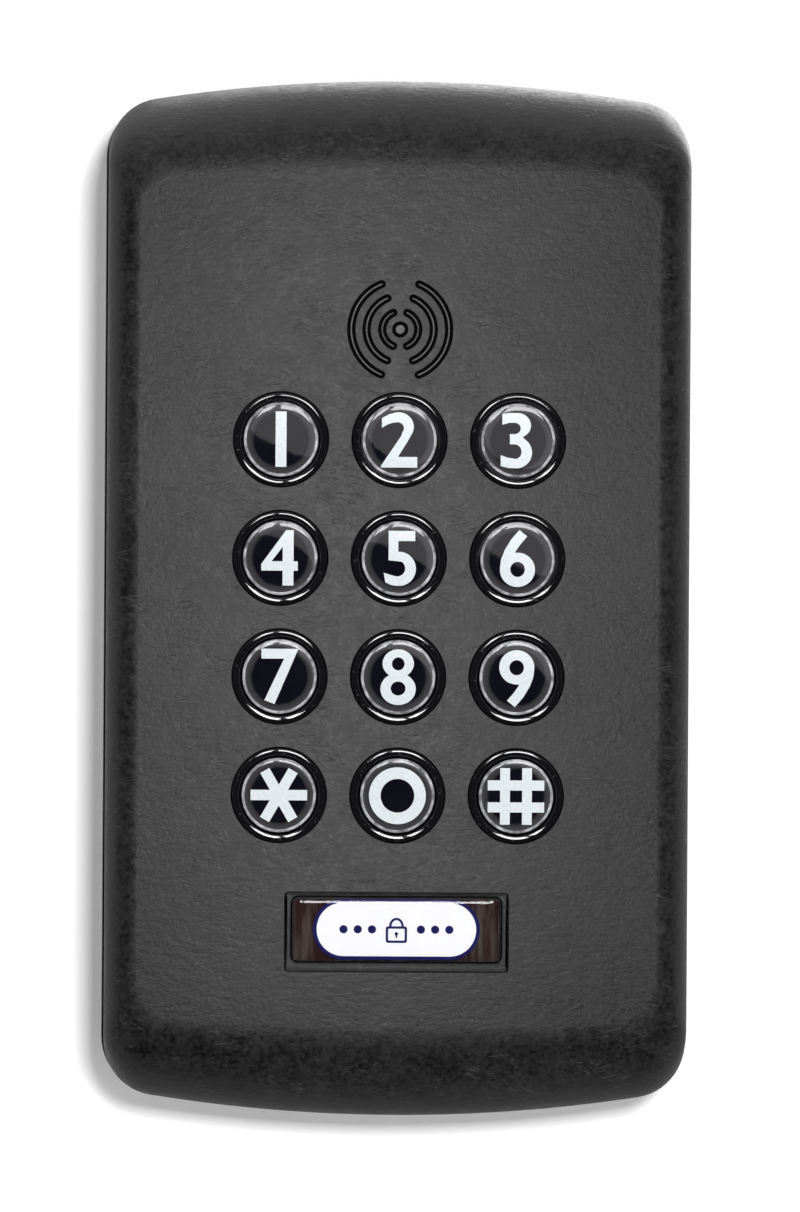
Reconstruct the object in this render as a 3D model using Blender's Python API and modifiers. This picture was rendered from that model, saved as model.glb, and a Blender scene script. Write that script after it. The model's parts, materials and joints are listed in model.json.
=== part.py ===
"""Keypad access reader for a wall: twelve domed keys and a proximity antenna in a two-part moulded case.

The reader hangs upright on its wall plate. +Z is up, the keys face -Y, and the origin is the centre of the
face that lies against the wall. Everything is modelled in a face frame (u to the right, v up, w out of the
wall towards the keys) that one empty turns upright. Sizes are in millimetres until a mesh is made.
"""

import math

import bmesh
import bpy
from mathutils import Matrix

MM = 0.001

# Case: the outline of the cover, seen from the front
COVER_HALF_WIDTH = 37.2
COVER_HALF_HEIGHT = 66.2
COVER_CORNER = 7.1
END_BOW = 200.0  # radius of the bowed top and bottom ends
FLAT_HALF_WIDTH = 31.5  # the flat front face inside the rounded shoulders
FLAT_HALF_HEIGHT = 54.2
FLAT_CORNER = 5.0
FLAT_BOW = 400.0
COVER_DRAFT = 0.2
COVER_WALL = 2.2

# Case: heights above the wall
FACE = 24.0
SHOULDER_FOOT = 12.0
COVER_EDGE = 5.8
RIM_FRONT = 5.0
FLOOR_FRONT = 4.2
FLOOR_BACK = 2.4
PLATE_FRONT = 2.2
TONGUE_FRONT = 8.5

# Case: the rear housing stands a little proud of the cover at the sides only
REAR_HALF_WIDTH = 37.5
REAR_HALF_HEIGHT = 65.9
REAR_CHAMFER = 0.5
RIM_WALL = 2.2
TONGUE_WALL = 1.5
FIT_GAP = 0.3
THIN_GAP = 0.05
PAST = 1.0  # how far a cutter runs past the face it cuts
ROOT = 0.8  # how far a joined boss or post stands inside the wall it grows from

# Screws: shank, head, and the pilot holes that they cut their threads in
CASE_SHANK = 1.45
CASE_HEAD = 2.8
CASE_PILOT = 1.75
CASE_BOSS = 3.5
CASE_BOSS_BACK = 7.5
CASE_SCREW_TIP = 14.0
CASE_SCREW_SEAT = 4.5
BOARD_SHANK = 1.1
BOARD_HEAD = 2.3
BOARD_PILOT = 1.3
BOARD_POST = 2.7
BOARD_SCREW_TIP = 20.0
HEAD_HEIGHT = 1.8
POINT = 1.0  # length of a screw's pointed end

# Keys: a grid of three columns and four rows
KEY_PITCH = 15.0
TOP_ROW = 20.0
KEY_NAMES = (("1", "2", "3"), ("4", "5", "6"), ("7", "8", "9"), ("star", "0", "hash"))
CAP_RADIUS = 4.75
CAP_CROWN = 0.9  # height of the dome's top above the cover's face
COLLAR_INNER = 4.95
COLLAR_OUTER = 5.9
COLLAR_PROUD = 0.7
COVER_KEY_HOLE = 6.05
FLANGE_RADIUS = 5.6
FLANGE_FRONT = 19.7
FLANGE_BACK = 18.8
KEY_TRAVEL = 1.2

# Keypad stack, heights above the wall
BOARD_FRONT = 15.0
BOARD_BACK = 13.4
PILL_BACK = BOARD_FRONT + KEY_TRAVEL + FIT_GAP
PILL_FRONT = PILL_BACK + 0.8
PILL_RADIUS = 1.6
DOME_TOP = FLANGE_BACK - FIT_GAP
DOME_WALL = 0.9
DOME_TOP_RADIUS = 2.2
DOME_FOOT_RADIUS = 3.9
MAT_FRONT = 16.3
MAT_BACK = 15.3
FRAME_FRONT = 21.5
FRAME_BACK = 20.0
FRAME_SKIRT = 16.6
FRAME_WALL = 1.2
KEYPAD_WIDTH = 48.0
KEYPAD_HEIGHT = 60.0
KEYPAD_CENTRE = TOP_ROW - 1.5 * KEY_PITCH
STAKE = 0.9
STAKES = [(u, KEYPAD_CENTRE + v) for u in (-21.8, 21.8) for v in (-27.8, 27.8)]

# Reader symbol engraved above the keys
SYMBOL_CENTRE = (0.0, 34.0)
SYMBOL_RADII = (2.28, 4.26, 6.2)
SYMBOL_STROKE = 0.85
SYMBOL_GAP = math.radians(22.5)  # from the vertical to the end of each arc
SYMBOL_DOT = 0.9
SYMBOL_DEPTH = 0.45

# Badge over the status window
RECESS = (28.2, 9.9)
RECESS_CENTRE = (0.0, -42.3)
BADGE_FLOOR = 22.9
BADGE = (26.8, 8.5)
BADGE_CENTRE = (0.0, -41.95)
BADGE_CORNER = 1.0
WINDOW_THICKNESS = 0.55
WINDOW_SLOT = (22.4, 4.8)
WINDOW_BOSS_BACK = 20.5
LABEL = (21.1, 7.8)
LABEL_THICKNESS = 0.15
DOME_CROWN = 0.85  # height of the badge's resin dome above the cover's face
LIGHT_PIPE = (20.0, 3.6)
LIGHT_PIPE_BACK = 17.0
LED_SIZE = (3.4, 2.8)
LED_HEIGHT = 1.5
LED_PLACES = {"red": -6.0, "green": 0.0, "amber": 6.0}

# Circuit board and what is on it
BOARD = (62.0, 96.0)
BOARD_POSTS = [(u, v) for u in (-27.5, 27.5) for v in (-44.5, 44.5)]
CASE_BOSSES = [(u, v) for u in (-28.0, 28.0) for v in (-55.0, 55.0)]
ANTENNA_CENTRE = (0.0, 38.0)
ANTENNA = (48.0, 16.0)
WINDING_WIDTH = 2.0
WINDING_THICKNESS = 1.2
SOUNDER_AT = (-18.0, -34.0)
SOUNDER_RADIUS = 6.0
SOUNDER_BACK = 7.0
SOUND_HOLE = 0.9
CHIP_AT = (-17.0, 33.0)
CHIP = (10.0, 10.0, 1.4)
RELAY_AT = (17.0, 33.0)
RELAY = (15.0, 10.0, 7.4)
TERMINAL_WAYS = 8
TERMINAL_PITCH = 3.5
TERMINAL_AT = (0.0, -4.0)
TERMINAL_DEPTH = 7.6
TERMINAL_BACK = 5.4
WIRE_PORT = (2.4, 9.6, 12.2)  # width, then the heights between which the port opens

# Tamper switch: the plunger's collar rests on the guide in the floor
TAMPER_AT = (20.0, -34.0)
PLUNGER_TRAVEL = 1.5
PLUNGER_RADIUS = 1.2
PLUNGER_BORE = 1.5
PLUNGER_TIP = 0.2
GUIDE_FRONT = 5.6
GUIDE_RADIUS = 3.2
COLLAR_BACK = GUIDE_FRONT + FIT_GAP
COLLAR_FRONT = COLLAR_BACK + 0.8
PLUNGER_COLLAR = 2.4
SWITCH_SIDE = 7.0
SWITCH_BACK = 9.75
SWITCH_BORE_END = 13.0
PLUNGER_FRONT = SWITCH_BORE_END - PLUNGER_TRAVEL - FIT_GAP
SPRING_TURNS = 3.5
SPRING_RADIUS = 1.8
SPRING_WIRE = 0.2

# Cable entry and wall fixings
CABLE_AT = (0.0, 20.0)
CABLE_BORE = 3.5
GROMMET_NECK = 6.25
GROMMET_FLANGE = 8.3
GROMMET_LIP = 1.0
PLATE_APERTURE = 10.0
GANG_SPACING = 83.3
ROUND_BOX_SPACING = 60.3
SLOT = (8.0, 3.8)
TAB_AT = 18.0
TAB = (8.0, 3.4)
TAB_REACH = 62.2
LUG = (11.0, 4.6, 6.0)
LUG_CENTRE = (0.0, -58.9)
LOCK_HEIGHT = 2.5
LOCK_SHANK = 1.2
LOCK_HEAD = 1.95
LOCK_ENDS = (-65.75, -57.8)
LOCK_SEAT = -64.9

# Facets
CORNER_STEPS = 5
BOW_STEPS = 3
SHOULDER_STEPS = 6
ROUND = 16
SMALL_ROUND = 12
TINY_ROUND = 8


# ---------------------------------------------------------------- outlines


def bowed_outline(half_width, half_height, corner, bow):
    """Anticlockwise outline with straight sides, round corners, and ends that bow outwards at radius bow."""
    bow_centre = half_height - bow
    corner_u = half_width - corner
    corner_v = bow_centre + math.sqrt((bow - corner) ** 2 - corner_u**2)
    lean = math.atan2(corner_u, corner_v - bow_centre)
    quarter = []
    for step in range(CORNER_STEPS + 1):
        angle = (math.pi / 2 - lean) * step / CORNER_STEPS
        quarter.append((corner_u + corner * math.cos(angle), corner_v + corner * math.sin(angle)))
    for step in range(1, BOW_STEPS + 1):
        angle = lean * (1 - step / BOW_STEPS)
        quarter.append((bow * math.sin(angle), bow_centre + bow * math.cos(angle)))
    upper = quarter + [(-u, v) for u, v in reversed(quarter[:-1])]
    return upper + [(-u, -v) for u, v in upper]


def cover_outline(inset=0.0):
    """The cover's own outline, drawn in by inset all round."""
    return bowed_outline(
        COVER_HALF_WIDTH - inset, COVER_HALF_HEIGHT - inset, COVER_CORNER - inset, END_BOW - inset
    )


def rear_outline(inset=0.0):
    """The rear housing's outline, drawn in by inset all round."""
    corner = max(COVER_CORNER - inset, 2.0)
    return bowed_outline(REAR_HALF_WIDTH - inset, REAR_HALF_HEIGHT - inset, corner, END_BOW - inset)


def rounded_rectangle(size, corner, centre=(0.0, 0.0), steps=3):
    """Anticlockwise rectangle with round corners."""
    width, height = size
    points = []
    for turn, (side_u, side_v) in enumerate(((1, 1), (-1, 1), (-1, -1), (1, -1))):
        for step in range(steps + 1):
            angle = math.pi / 2 * (turn + step / steps)
            points.append(
                (
                    centre[0] + side_u * (width / 2 - corner) + corner * math.cos(angle),
                    centre[1] + side_v * (height / 2 - corner) + corner * math.sin(angle),
                )
            )
    return points


def arc_band(radius, width, start, end, centre, steps=6):
    """Anticlockwise outline of a band along an arc, with round ends."""
    half = width / 2
    sweep = [start + (end - start) * step / steps for step in range(steps + 1)]
    outer = [polar(centre, radius + half, angle) for angle in sweep]
    inner = [polar(centre, radius - half, angle) for angle in reversed(sweep)]
    cap = [polar(polar(centre, radius, end), half, end + math.pi * part / 3) for part in (1, 2)]
    foot = [polar(polar(centre, radius, start), half, start + math.pi * (1 + part / 3)) for part in (1, 2)]
    return outer + cap + inner + foot


def polar(centre, radius, angle):
    return centre[0] + radius * math.cos(angle), centre[1] + radius * math.sin(angle)


# ---------------------------------------------------------------- solids


def clear_scene():
    for obj in list(bpy.data.objects):
        bpy.data.objects.remove(obj)


def new_collection(name, hidden=False):
    group = bpy.data.collections.new(name)
    group.hide_render = hidden
    bpy.context.scene.collection.children.link(group)
    return group


def make_materials():
    """One plain Principled material for each finish: colour, roughness, metallic."""
    finishes = {
        "satin_case": ((0.045, 0.045, 0.047), 0.45, 0.0),
        "gloss_black": ((0.008, 0.008, 0.010), 0.08, 0.0),
        "key_resin": ((0.012, 0.012, 0.016), 0.05, 0.0),
        "smoked_lens": ((0.045, 0.020, 0.016), 0.08, 0.0),
        "clear_resin": ((0.90, 0.90, 0.92), 0.04, 0.0),
        "label_white": ((0.86, 0.87, 0.90), 0.35, 0.0),
        "white_plastic": ((0.80, 0.80, 0.78), 0.35, 0.0),
        "silicone": ((0.32, 0.33, 0.35), 0.60, 0.0),
        "carbon": ((0.02, 0.02, 0.02), 0.85, 0.0),
        "board_green": ((0.02, 0.16, 0.07), 0.40, 0.0),
        "copper": ((0.72, 0.33, 0.16), 0.35, 1.0),
        "component_black": ((0.02, 0.02, 0.022), 0.50, 0.0),
        "terminal_green": ((0.03, 0.28, 0.12), 0.45, 0.0),
        "led_red": ((0.55, 0.03, 0.03), 0.25, 0.0),
        "led_green": ((0.04, 0.45, 0.08), 0.25, 0.0),
        "led_amber": ((0.70, 0.32, 0.02), 0.25, 0.0),
        "steel": ((0.55, 0.55, 0.57), 0.30, 1.0),
        "seal_rubber": ((0.015, 0.015, 0.015), 0.80, 0.0),
    }
    made = {}
    for name, (colour, roughness, metallic) in finishes.items():
        finish = bpy.data.materials.new(name)
        finish.use_nodes = True
        shader = finish.node_tree.nodes["Principled BSDF"]
        shader.inputs["Base Color"].default_value = (*colour, 1.0)
        shader.inputs["Roughness"].default_value = roughness
        shader.inputs["Metallic"].default_value = metallic
        made[name] = finish
    return made


def add_object(name, data, at=(0.0, 0.0, 0.0), finish=None, helper_group=None):
    """Links an object into the reader's collection, or into a helper group, in the face frame."""
    obj = bpy.data.objects.new(name, data)
    obj.parent = FACE_FRAME
    obj.location = [length * MM for length in at]
    if helper_group is None:
        READER.objects.link(obj)
        data.materials.append(MATERIALS[finish])
    else:
        helper_group.objects.link(obj)
        obj.hide_render = True
        obj.display_type = "WIRE"
    return obj


def mesh_from(bm, name, smooth=False):
    bmesh.ops.scale(bm, vec=(MM, MM, MM), verts=bm.verts)
    mesh = bpy.data.meshes.new(name)
    bm.to_mesh(mesh)
    bm.free()
    if smooth:
        mesh.shade_smooth()
        mesh.set_sharp_from_angle(angle=math.radians(40))
    return mesh


def prism(outline, low, high):
    """A closed solid: one flat face extruded from low to high."""
    bm = bmesh.new()
    face = bm.faces.new([bm.verts.new((u, v, low)) for u, v in outline])
    raised = bmesh.ops.extrude_face_region(bm, geom=[face])
    tops = [item for item in raised["geom"] if isinstance(item, bmesh.types.BMVert)]
    bmesh.ops.translate(bm, vec=(0, 0, high - low), verts=tops)
    bmesh.ops.recalc_face_normals(bm, faces=bm.faces)
    return bm


def loft(sections, ends="capped"):
    """Walls between outlines of equal point count, each (outline, height).

    ends is "capped" for a closed solid, "front" for a skin closed at the last section only,
    and "ring" where the last section joins the first.
    """
    bm = bmesh.new()
    rings = [[bm.verts.new((u, v, height)) for u, v in outline] for outline, height in sections]
    pairs = list(zip(rings, rings[1:]))
    if ends == "ring":
        pairs.append((rings[-1], rings[0]))
    count = len(rings[0])
    for lower, upper in pairs:
        for i in range(count):
            j = (i + 1) % count
            bm.faces.new((lower[i], lower[j], upper[j], upper[i]))
    if ends in ("capped", "front"):
        bm.faces.new(rings[-1])
    if ends == "capped":
        bm.faces.new(list(reversed(rings[0])))
    return bm


def box(size, centre, low, high):
    """A cube primitive brought to size, standing from low to high."""
    bm = bmesh.new()
    bmesh.ops.create_cube(bm, size=1.0)
    bmesh.ops.scale(bm, vec=(size[0], size[1], high - low), verts=bm.verts)
    bmesh.ops.translate(bm, vec=(centre[0], centre[1], (low + high) / 2), verts=bm.verts)
    return bm


def rod(radius, low, high, centre=(0.0, 0.0), sides=SMALL_ROUND):
    """A cylinder primitive standing from low to high."""
    bm = bmesh.new()
    bmesh.ops.create_cone(
        bm, cap_ends=True, segments=sides, radius1=radius, radius2=radius, depth=high - low
    )
    bmesh.ops.translate(bm, vec=(centre[0], centre[1], (low + high) / 2), verts=bm.verts)
    return bm


def lying_rod(radius, low_v, high_v, height):
    """A cylinder primitive lying along v at u = 0."""
    bm = rod(radius, low_v, high_v)
    bmesh.ops.rotate(bm, cent=(0, 0, 0), matrix=Matrix.Rotation(-math.pi / 2, 3, "X"), verts=bm.verts)
    bmesh.ops.translate(bm, vec=(0, 0, height), verts=bm.verts)
    return bm


def add_solid(name, bm, finish, at=(0.0, 0.0, 0.0)):
    return add_object(name, mesh_from(bm, name), at, finish)


def add_helper(group, name, bm):
    return add_object(name, mesh_from(bm, name), helper_group=group)


def turned_profile(name, profile, ring=False):
    """A profile of (radius, height) points as a mesh of edges, for a Screw modifier."""
    mesh = bpy.data.meshes.new(name)
    points = [(radius * MM, 0.0, height * MM) for radius, height in profile]
    edges = [(i, i + 1) for i in range(len(points) - 1)]
    if ring:
        edges.append((len(points) - 1, 0))
    mesh.from_pydata(points, edges, [])
    return mesh


def spin(obj, steps):
    """Turns the object's profile about its own Z axis."""
    screw = obj.modifiers.new("turn", "SCREW")
    screw.axis = "Z"
    screw.steps = steps
    screw.render_steps = steps
    screw.use_merge_vertices = True
    screw.merge_threshold = 0.00001
    screw.use_smooth_shade = True
    return obj


def add_turned(name, profile, finish, at=(0.0, 0.0, 0.0), steps=ROUND, ring=False):
    return spin(add_object(name, turned_profile(name, profile, ring), at, finish), steps)


def add_turned_helper(group, name, profile, at, steps=ROUND):
    return spin(add_object(name, turned_profile(name, profile), at, helper_group=group), steps)


def combine(obj, operation, group):
    """Joins or cuts the object with everything in a helper group."""
    step = obj.modifiers.new(operation.lower(), "BOOLEAN")
    step.operation = operation
    step.operand_type = "COLLECTION"
    step.collection = group
    step.solver = "EXACT"


def helper_groups(name):
    return new_collection(name + "_joins", hidden=True), new_collection(name + "_cuts", hidden=True)


def key_places():
    """(name, u, v) of every key."""
    for row, names in enumerate(KEY_NAMES):
        for column, name in enumerate(names):
            yield name, (column - 1) * KEY_PITCH, TOP_ROW - row * KEY_PITCH


# ---------------------------------------------------------------- case


def shoulder_section(turn):
    """Outline and height of the shoulder, from turn 0 at the flat face to a quarter turn at its foot."""
    out = math.sin(turn)
    rise = math.cos(turn)
    half_width = FLAT_HALF_WIDTH + (COVER_HALF_WIDTH - COVER_DRAFT - FLAT_HALF_WIDTH) * out
    half_height = FLAT_HALF_HEIGHT + (COVER_HALF_HEIGHT - COVER_DRAFT - FLAT_HALF_HEIGHT) * out
    corner = FLAT_CORNER + (COVER_CORNER - COVER_DRAFT - FLAT_CORNER) * out
    curve = 1 / FLAT_BOW + (1 / END_BOW - 1 / FLAT_BOW) * out
    height = SHOULDER_FOOT + (FACE - SHOULDER_FOOT) * rise
    return bowed_outline(half_width, half_height, corner, 1 / curve), height


def make_front_cover():
    """Thin shell with posts inside and openings for the keys and the badge."""
    turns = [math.pi / 2 * (1 - step / SHOULDER_STEPS) for step in range(SHOULDER_STEPS + 1)]
    skin = [(cover_outline(), COVER_EDGE)] + [shoulder_section(turn) for turn in turns]
    shell = mesh_from(loft(skin, "front"), "front_cover", smooth=True)
    cover = add_object("front_cover", shell, finish="satin_case")
    wall = cover.modifiers.new("wall", "SOLIDIFY")
    wall.thickness = COVER_WALL * MM
    wall.offset = -1.0
    wall.use_even_offset = True

    joins, cuts = helper_groups("front_cover")
    inside = FACE - COVER_WALL
    root = inside + ROOT
    for number, centre in enumerate(CASE_BOSSES):
        pilot_end = CASE_SCREW_TIP + POINT
        add_helper(joins, f"case_boss_{number}", rod(CASE_BOSS, CASE_BOSS_BACK, root, centre))
        add_helper(cuts, f"case_pilot_{number}", rod(CASE_PILOT, CASE_BOSS_BACK - PAST, pilot_end, centre))
    for number, centre in enumerate(BOARD_POSTS):
        foot = BOARD_FRONT + FIT_GAP
        pilot_end = BOARD_SCREW_TIP + POINT / 2
        add_helper(joins, f"board_post_{number}", rod(BOARD_POST, foot, root, centre))
        add_helper(cuts, f"board_pilot_{number}", rod(BOARD_PILOT, foot - PAST, pilot_end, centre))
    for number, centre in enumerate(STAKES):
        add_helper(joins, f"stake_{number}", rod(STAKE, FRAME_BACK - ROOT, root, centre, TINY_ROUND))
    for name, u, v in key_places():
        hole = rod(COVER_KEY_HOLE, inside - PAST, FACE + PAST, (u, v), ROUND)
        add_helper(cuts, f"key_hole_{name}", hole)
    cut_symbol(cuts)
    recess = rounded_rectangle(RECESS, BADGE_CORNER / 2, RECESS_CENTRE)
    add_helper(cuts, "badge_recess", prism(recess, BADGE_FLOOR, FACE + PAST))
    add_helper(cuts, "window_slot", box(WINDOW_SLOT, BADGE_CENTRE, inside - PAST, FACE))
    combine(cover, "UNION", joins)
    combine(cover, "DIFFERENCE", cuts)


def cut_symbol(cuts):
    """Three pairs of arcs round a dot."""
    floor = FACE - SYMBOL_DEPTH
    for number, radius in enumerate(SYMBOL_RADII):
        for side, start in (("right", SYMBOL_GAP - math.pi / 2), ("left", SYMBOL_GAP + math.pi / 2)):
            end = start + math.pi - 2 * SYMBOL_GAP
            band = arc_band(radius, SYMBOL_STROKE, start, end, SYMBOL_CENTRE)
            add_helper(cuts, f"symbol_{side}_{number}", prism(band, floor, FACE + PAST))
    add_helper(cuts, "symbol_dot", rod(SYMBOL_DOT, floor, FACE + PAST, SYMBOL_CENTRE))


def make_rear_housing():
    """Tray behind the cover: a rim round the wall plate, a floor, and a tongue inside the cover's skirt."""
    skirt_inside = (REAR_HALF_WIDTH - COVER_HALF_WIDTH) + COVER_WALL
    tongue_out = skirt_inside + FIT_GAP
    sections = [
        (rear_outline(RIM_WALL), FLOOR_BACK),
        (rear_outline(RIM_WALL), 0.0),
        (rear_outline(REAR_CHAMFER), 0.0),
        (rear_outline(), REAR_CHAMFER),
        (rear_outline(), RIM_FRONT),
        (rear_outline(tongue_out), RIM_FRONT),
        (rear_outline(tongue_out), TONGUE_FRONT),
        (rear_outline(tongue_out + TONGUE_WALL), TONGUE_FRONT),
        (rear_outline(tongue_out + TONGUE_WALL), FLOOR_FRONT),
    ]
    housing = add_solid("rear_housing", loft(sections), "gloss_black")

    joins, cuts = helper_groups("rear_housing")
    root = FLOOR_FRONT - ROOT
    behind = FLOOR_BACK - PAST
    for number, centre in enumerate(CASE_BOSSES):
        boss_front = CASE_BOSS_BACK - FIT_GAP
        counterbore = rod(CASE_HEAD + FIT_GAP, behind, CASE_SCREW_SEAT + FIT_GAP, centre)
        add_helper(joins, f"rear_boss_{number}", rod(CASE_BOSS + ROOT, root, boss_front, centre))
        add_helper(cuts, f"rear_counterbore_{number}", counterbore)
        add_helper(cuts, f"rear_hole_{number}", rod(CASE_PILOT, behind, boss_front + PAST, centre))
    add_helper(joins, "plunger_guide", rod(GUIDE_RADIUS, root, GUIDE_FRONT, TAMPER_AT))
    add_helper(cuts, "plunger_hole", rod(PLUNGER_BORE, behind, GUIDE_FRONT + PAST, TAMPER_AT))
    pocket = (LUG[0] + 2 * ROOT, LUG[1] + ROOT)
    pocket_front = LUG[2] + FIT_GAP + THIN_GAP
    lug_house = (pocket[0] + 2 * TONGUE_WALL, pocket[1] + 2 * TONGUE_WALL)
    add_helper(joins, "lug_house", box(lug_house, LUG_CENTRE, root, pocket_front + TONGUE_WALL))
    add_helper(cuts, "lug_pocket", box(pocket, LUG_CENTRE, behind, pocket_front))
    cable_hole = rod(GROMMET_NECK + 3 * THIN_GAP, behind, FLOOR_FRONT + PAST, CABLE_AT, ROUND)
    add_helper(cuts, "cable_hole", cable_hole)
    edge = -REAR_HALF_HEIGHT - PAST
    lock_hole = lying_rod(LOCK_SHANK + FIT_GAP, edge, LUG_CENTRE[1], LOCK_HEIGHT)
    lock_counterbore = lying_rod(LOCK_HEAD + 4 * THIN_GAP, edge, LOCK_SEAT + 2 * THIN_GAP, LOCK_HEIGHT)
    add_helper(cuts, "lock_hole", lock_hole)
    add_helper(cuts, "lock_counterbore", lock_counterbore)
    for side in (-1, 1):
        slot_size = (TAB[0] + 4 * FIT_GAP, TAB[1] / 2 + FIT_GAP)
        slot_centre = (side * TAB_AT, TAB_REACH + slot_size[1] / 2 + 4 * THIN_GAP)
        slot_front = PLATE_FRONT
        add_helper(cuts, f"tab_slot_{side + 1}", box(slot_size, slot_centre, ROOT, slot_front))
    combine(housing, "UNION", joins)
    combine(housing, "DIFFERENCE", cuts)


def make_case_gasket():
    """Square-section seal between the cover's skirt and the rim."""
    outer = cover_outline(0.5)
    inner = cover_outline(COVER_WALL - FIT_GAP)
    low = RIM_FRONT + 2 * THIN_GAP
    high = COVER_EDGE - 2 * THIN_GAP
    ring = loft([(outer, low), (outer, high), (inner, high), (inner, low)], "ring")
    add_solid("case_gasket", ring, "seal_rubber")


def make_wall_plate():
    """Flat bracket inside the rim, with slots for box screws, two top tabs and a lug for the lock screw."""
    outline = rear_outline(RIM_WALL + FIT_GAP)
    plate = add_solid("wall_plate", prism(outline, 0.0, PLATE_FRONT), "steel")

    joins, cuts = helper_groups("wall_plate")
    add_helper(joins, "lock_lug", box(LUG[:2], LUG_CENTRE, PLATE_FRONT - ROOT, LUG[2]))
    past_front = PLATE_FRONT + PAST
    slot_corner = SLOT[1] / 2 - THIN_GAP
    for side in (-1, 1):
        tab = box(TAB, (side * TAB_AT, TAB_REACH), ROOT + FIT_GAP, PLATE_FRONT - FIT_GAP)
        add_helper(joins, f"top_tab_{side + 1}", tab)
        upright = rounded_rectangle(SLOT[::-1], slot_corner, (0.0, side * GANG_SPACING / 2))
        across = rounded_rectangle(SLOT, slot_corner, (side * ROUND_BOX_SPACING / 2, 0.0))
        add_helper(cuts, f"gang_slot_{side + 1}", prism(upright, -PAST, past_front))
        add_helper(cuts, f"box_slot_{side + 1}", prism(across, -PAST, past_front))
    add_helper(cuts, "cable_aperture", rod(PLATE_APERTURE, -PAST, past_front, CABLE_AT, 2 * SMALL_ROUND))
    add_helper(cuts, "plunger_window", rod(PLUNGER_COLLAR, -PAST, past_front, TAMPER_AT))
    thread = (-REAR_HALF_HEIGHT + PAST, LOCK_ENDS[1] + FIT_GAP)
    add_helper(cuts, "lock_thread", lying_rod(LOCK_SHANK + 4 * THIN_GAP, *thread, LOCK_HEIGHT))
    combine(plate, "UNION", joins)
    combine(plate, "DIFFERENCE", cuts)


def make_grommet():
    """Rubber bush for the cable, held by the edge of the hole in the floor."""
    rear_lip = FLOOR_BACK - FIT_GAP
    front_lip = FLOOR_FRONT + FIT_GAP
    profile = [
        (CABLE_BORE, front_lip + GROMMET_LIP),
        (GROMMET_FLANGE, front_lip + GROMMET_LIP),
        (GROMMET_FLANGE, front_lip),
        (GROMMET_NECK, front_lip),
        (GROMMET_NECK, rear_lip),
        (GROMMET_FLANGE, rear_lip),
        (GROMMET_FLANGE, rear_lip - GROMMET_LIP),
        (CABLE_BORE, rear_lip - GROMMET_LIP),
    ]
    add_turned("cable_grommet", profile, "seal_rubber", (*CABLE_AT, 0.0), ring=True)


def screw_profile(tip, seat, shank, head):
    """Pointed shank and a cylindrical head behind the seat."""
    return [
        (0, tip),
        (shank, tip - POINT),
        (shank, seat),
        (head, seat),
        (head, seat - HEAD_HEIGHT + FIT_GAP),
        (head - FIT_GAP, seat - HEAD_HEIGHT),
        (0, seat - HEAD_HEIGHT),
    ]


def make_screws():
    """Case screws from behind, board screws, and the lock screw in the bottom edge."""
    case_profile = screw_profile(CASE_SCREW_TIP, CASE_SCREW_SEAT, CASE_SHANK, CASE_HEAD)
    for number, centre in enumerate(CASE_BOSSES, 1):
        add_turned(f"case_screw_{number}", case_profile, "steel", (*centre, 0.0), SMALL_ROUND)
    board_profile = screw_profile(BOARD_SCREW_TIP, BOARD_BACK - THIN_GAP, BOARD_SHANK, BOARD_HEAD)
    for number, centre in enumerate(BOARD_POSTS, 1):
        add_turned(f"board_screw_{number}", board_profile, "steel", (*centre, 0.0), SMALL_ROUND)
    outside, tip = LOCK_ENDS
    lock_profile = [
        (0, tip),
        (LOCK_SHANK, tip - POINT),
        (LOCK_SHANK, LOCK_SEAT),
        (LOCK_HEAD, LOCK_SEAT),
        (LOCK_HEAD, outside + FIT_GAP),
        (LOCK_HEAD - FIT_GAP, outside),
        (0, outside),
    ]
    lock = add_turned("security_screw", lock_profile, "steel", (0.0, 0.0, LOCK_HEIGHT), SMALL_ROUND)
    lock.rotation_euler = (-math.pi / 2, 0.0, 0.0)


# ---------------------------------------------------------------- keypad


def make_guide_frame():
    """Gloss frame behind the cover whose twelve collars stand through the key holes."""
    centre = (0.0, KEYPAD_CENTRE)
    slab = rounded_rectangle((KEYPAD_WIDTH, KEYPAD_HEIGHT), 2.0, centre)
    frame = add_solid("key_guide_frame", prism(slab, FRAME_SKIRT, FRAME_FRONT), "gloss_black")

    joins, cuts = helper_groups("key_guide_frame")
    top = FACE + COLLAR_PROUD
    rim = COLLAR_OUTER - FIT_GAP
    mouth = COLLAR_INNER + FIT_GAP
    foot = FRAME_BACK + ROOT
    below = FRAME_BACK - PAST
    collar = [(0, top), (rim, top), (COLLAR_OUTER, top - FIT_GAP), (COLLAR_OUTER, foot), (0, foot)]
    bore = [
        (0, top + PAST),
        (mouth, top + PAST),
        (mouth, top),
        (COLLAR_INNER, top - FIT_GAP),
        (COLLAR_INNER, below),
        (0, below),
    ]
    for name, u, v in key_places():
        add_turned_helper(joins, f"collar_{name}", collar, (u, v, 0.0))
        add_turned_helper(cuts, f"collar_bore_{name}", bore, (u, v, 0.0))
    hollow = rounded_rectangle((KEYPAD_WIDTH - 2 * FRAME_WALL, KEYPAD_HEIGHT - 2 * FRAME_WALL), 1.0, centre)
    add_helper(cuts, "frame_hollow", prism(hollow, FRAME_SKIRT - PAST, FRAME_BACK))
    for number, stake in enumerate(STAKES):
        hole = rod(STAKE + FIT_GAP, below, FRAME_FRONT + PAST, stake, TINY_ROUND)
        add_helper(cuts, f"stake_hole_{number}", hole)
    combine(frame, "UNION", joins)
    combine(frame, "DIFFERENCE", cuts)


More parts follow.
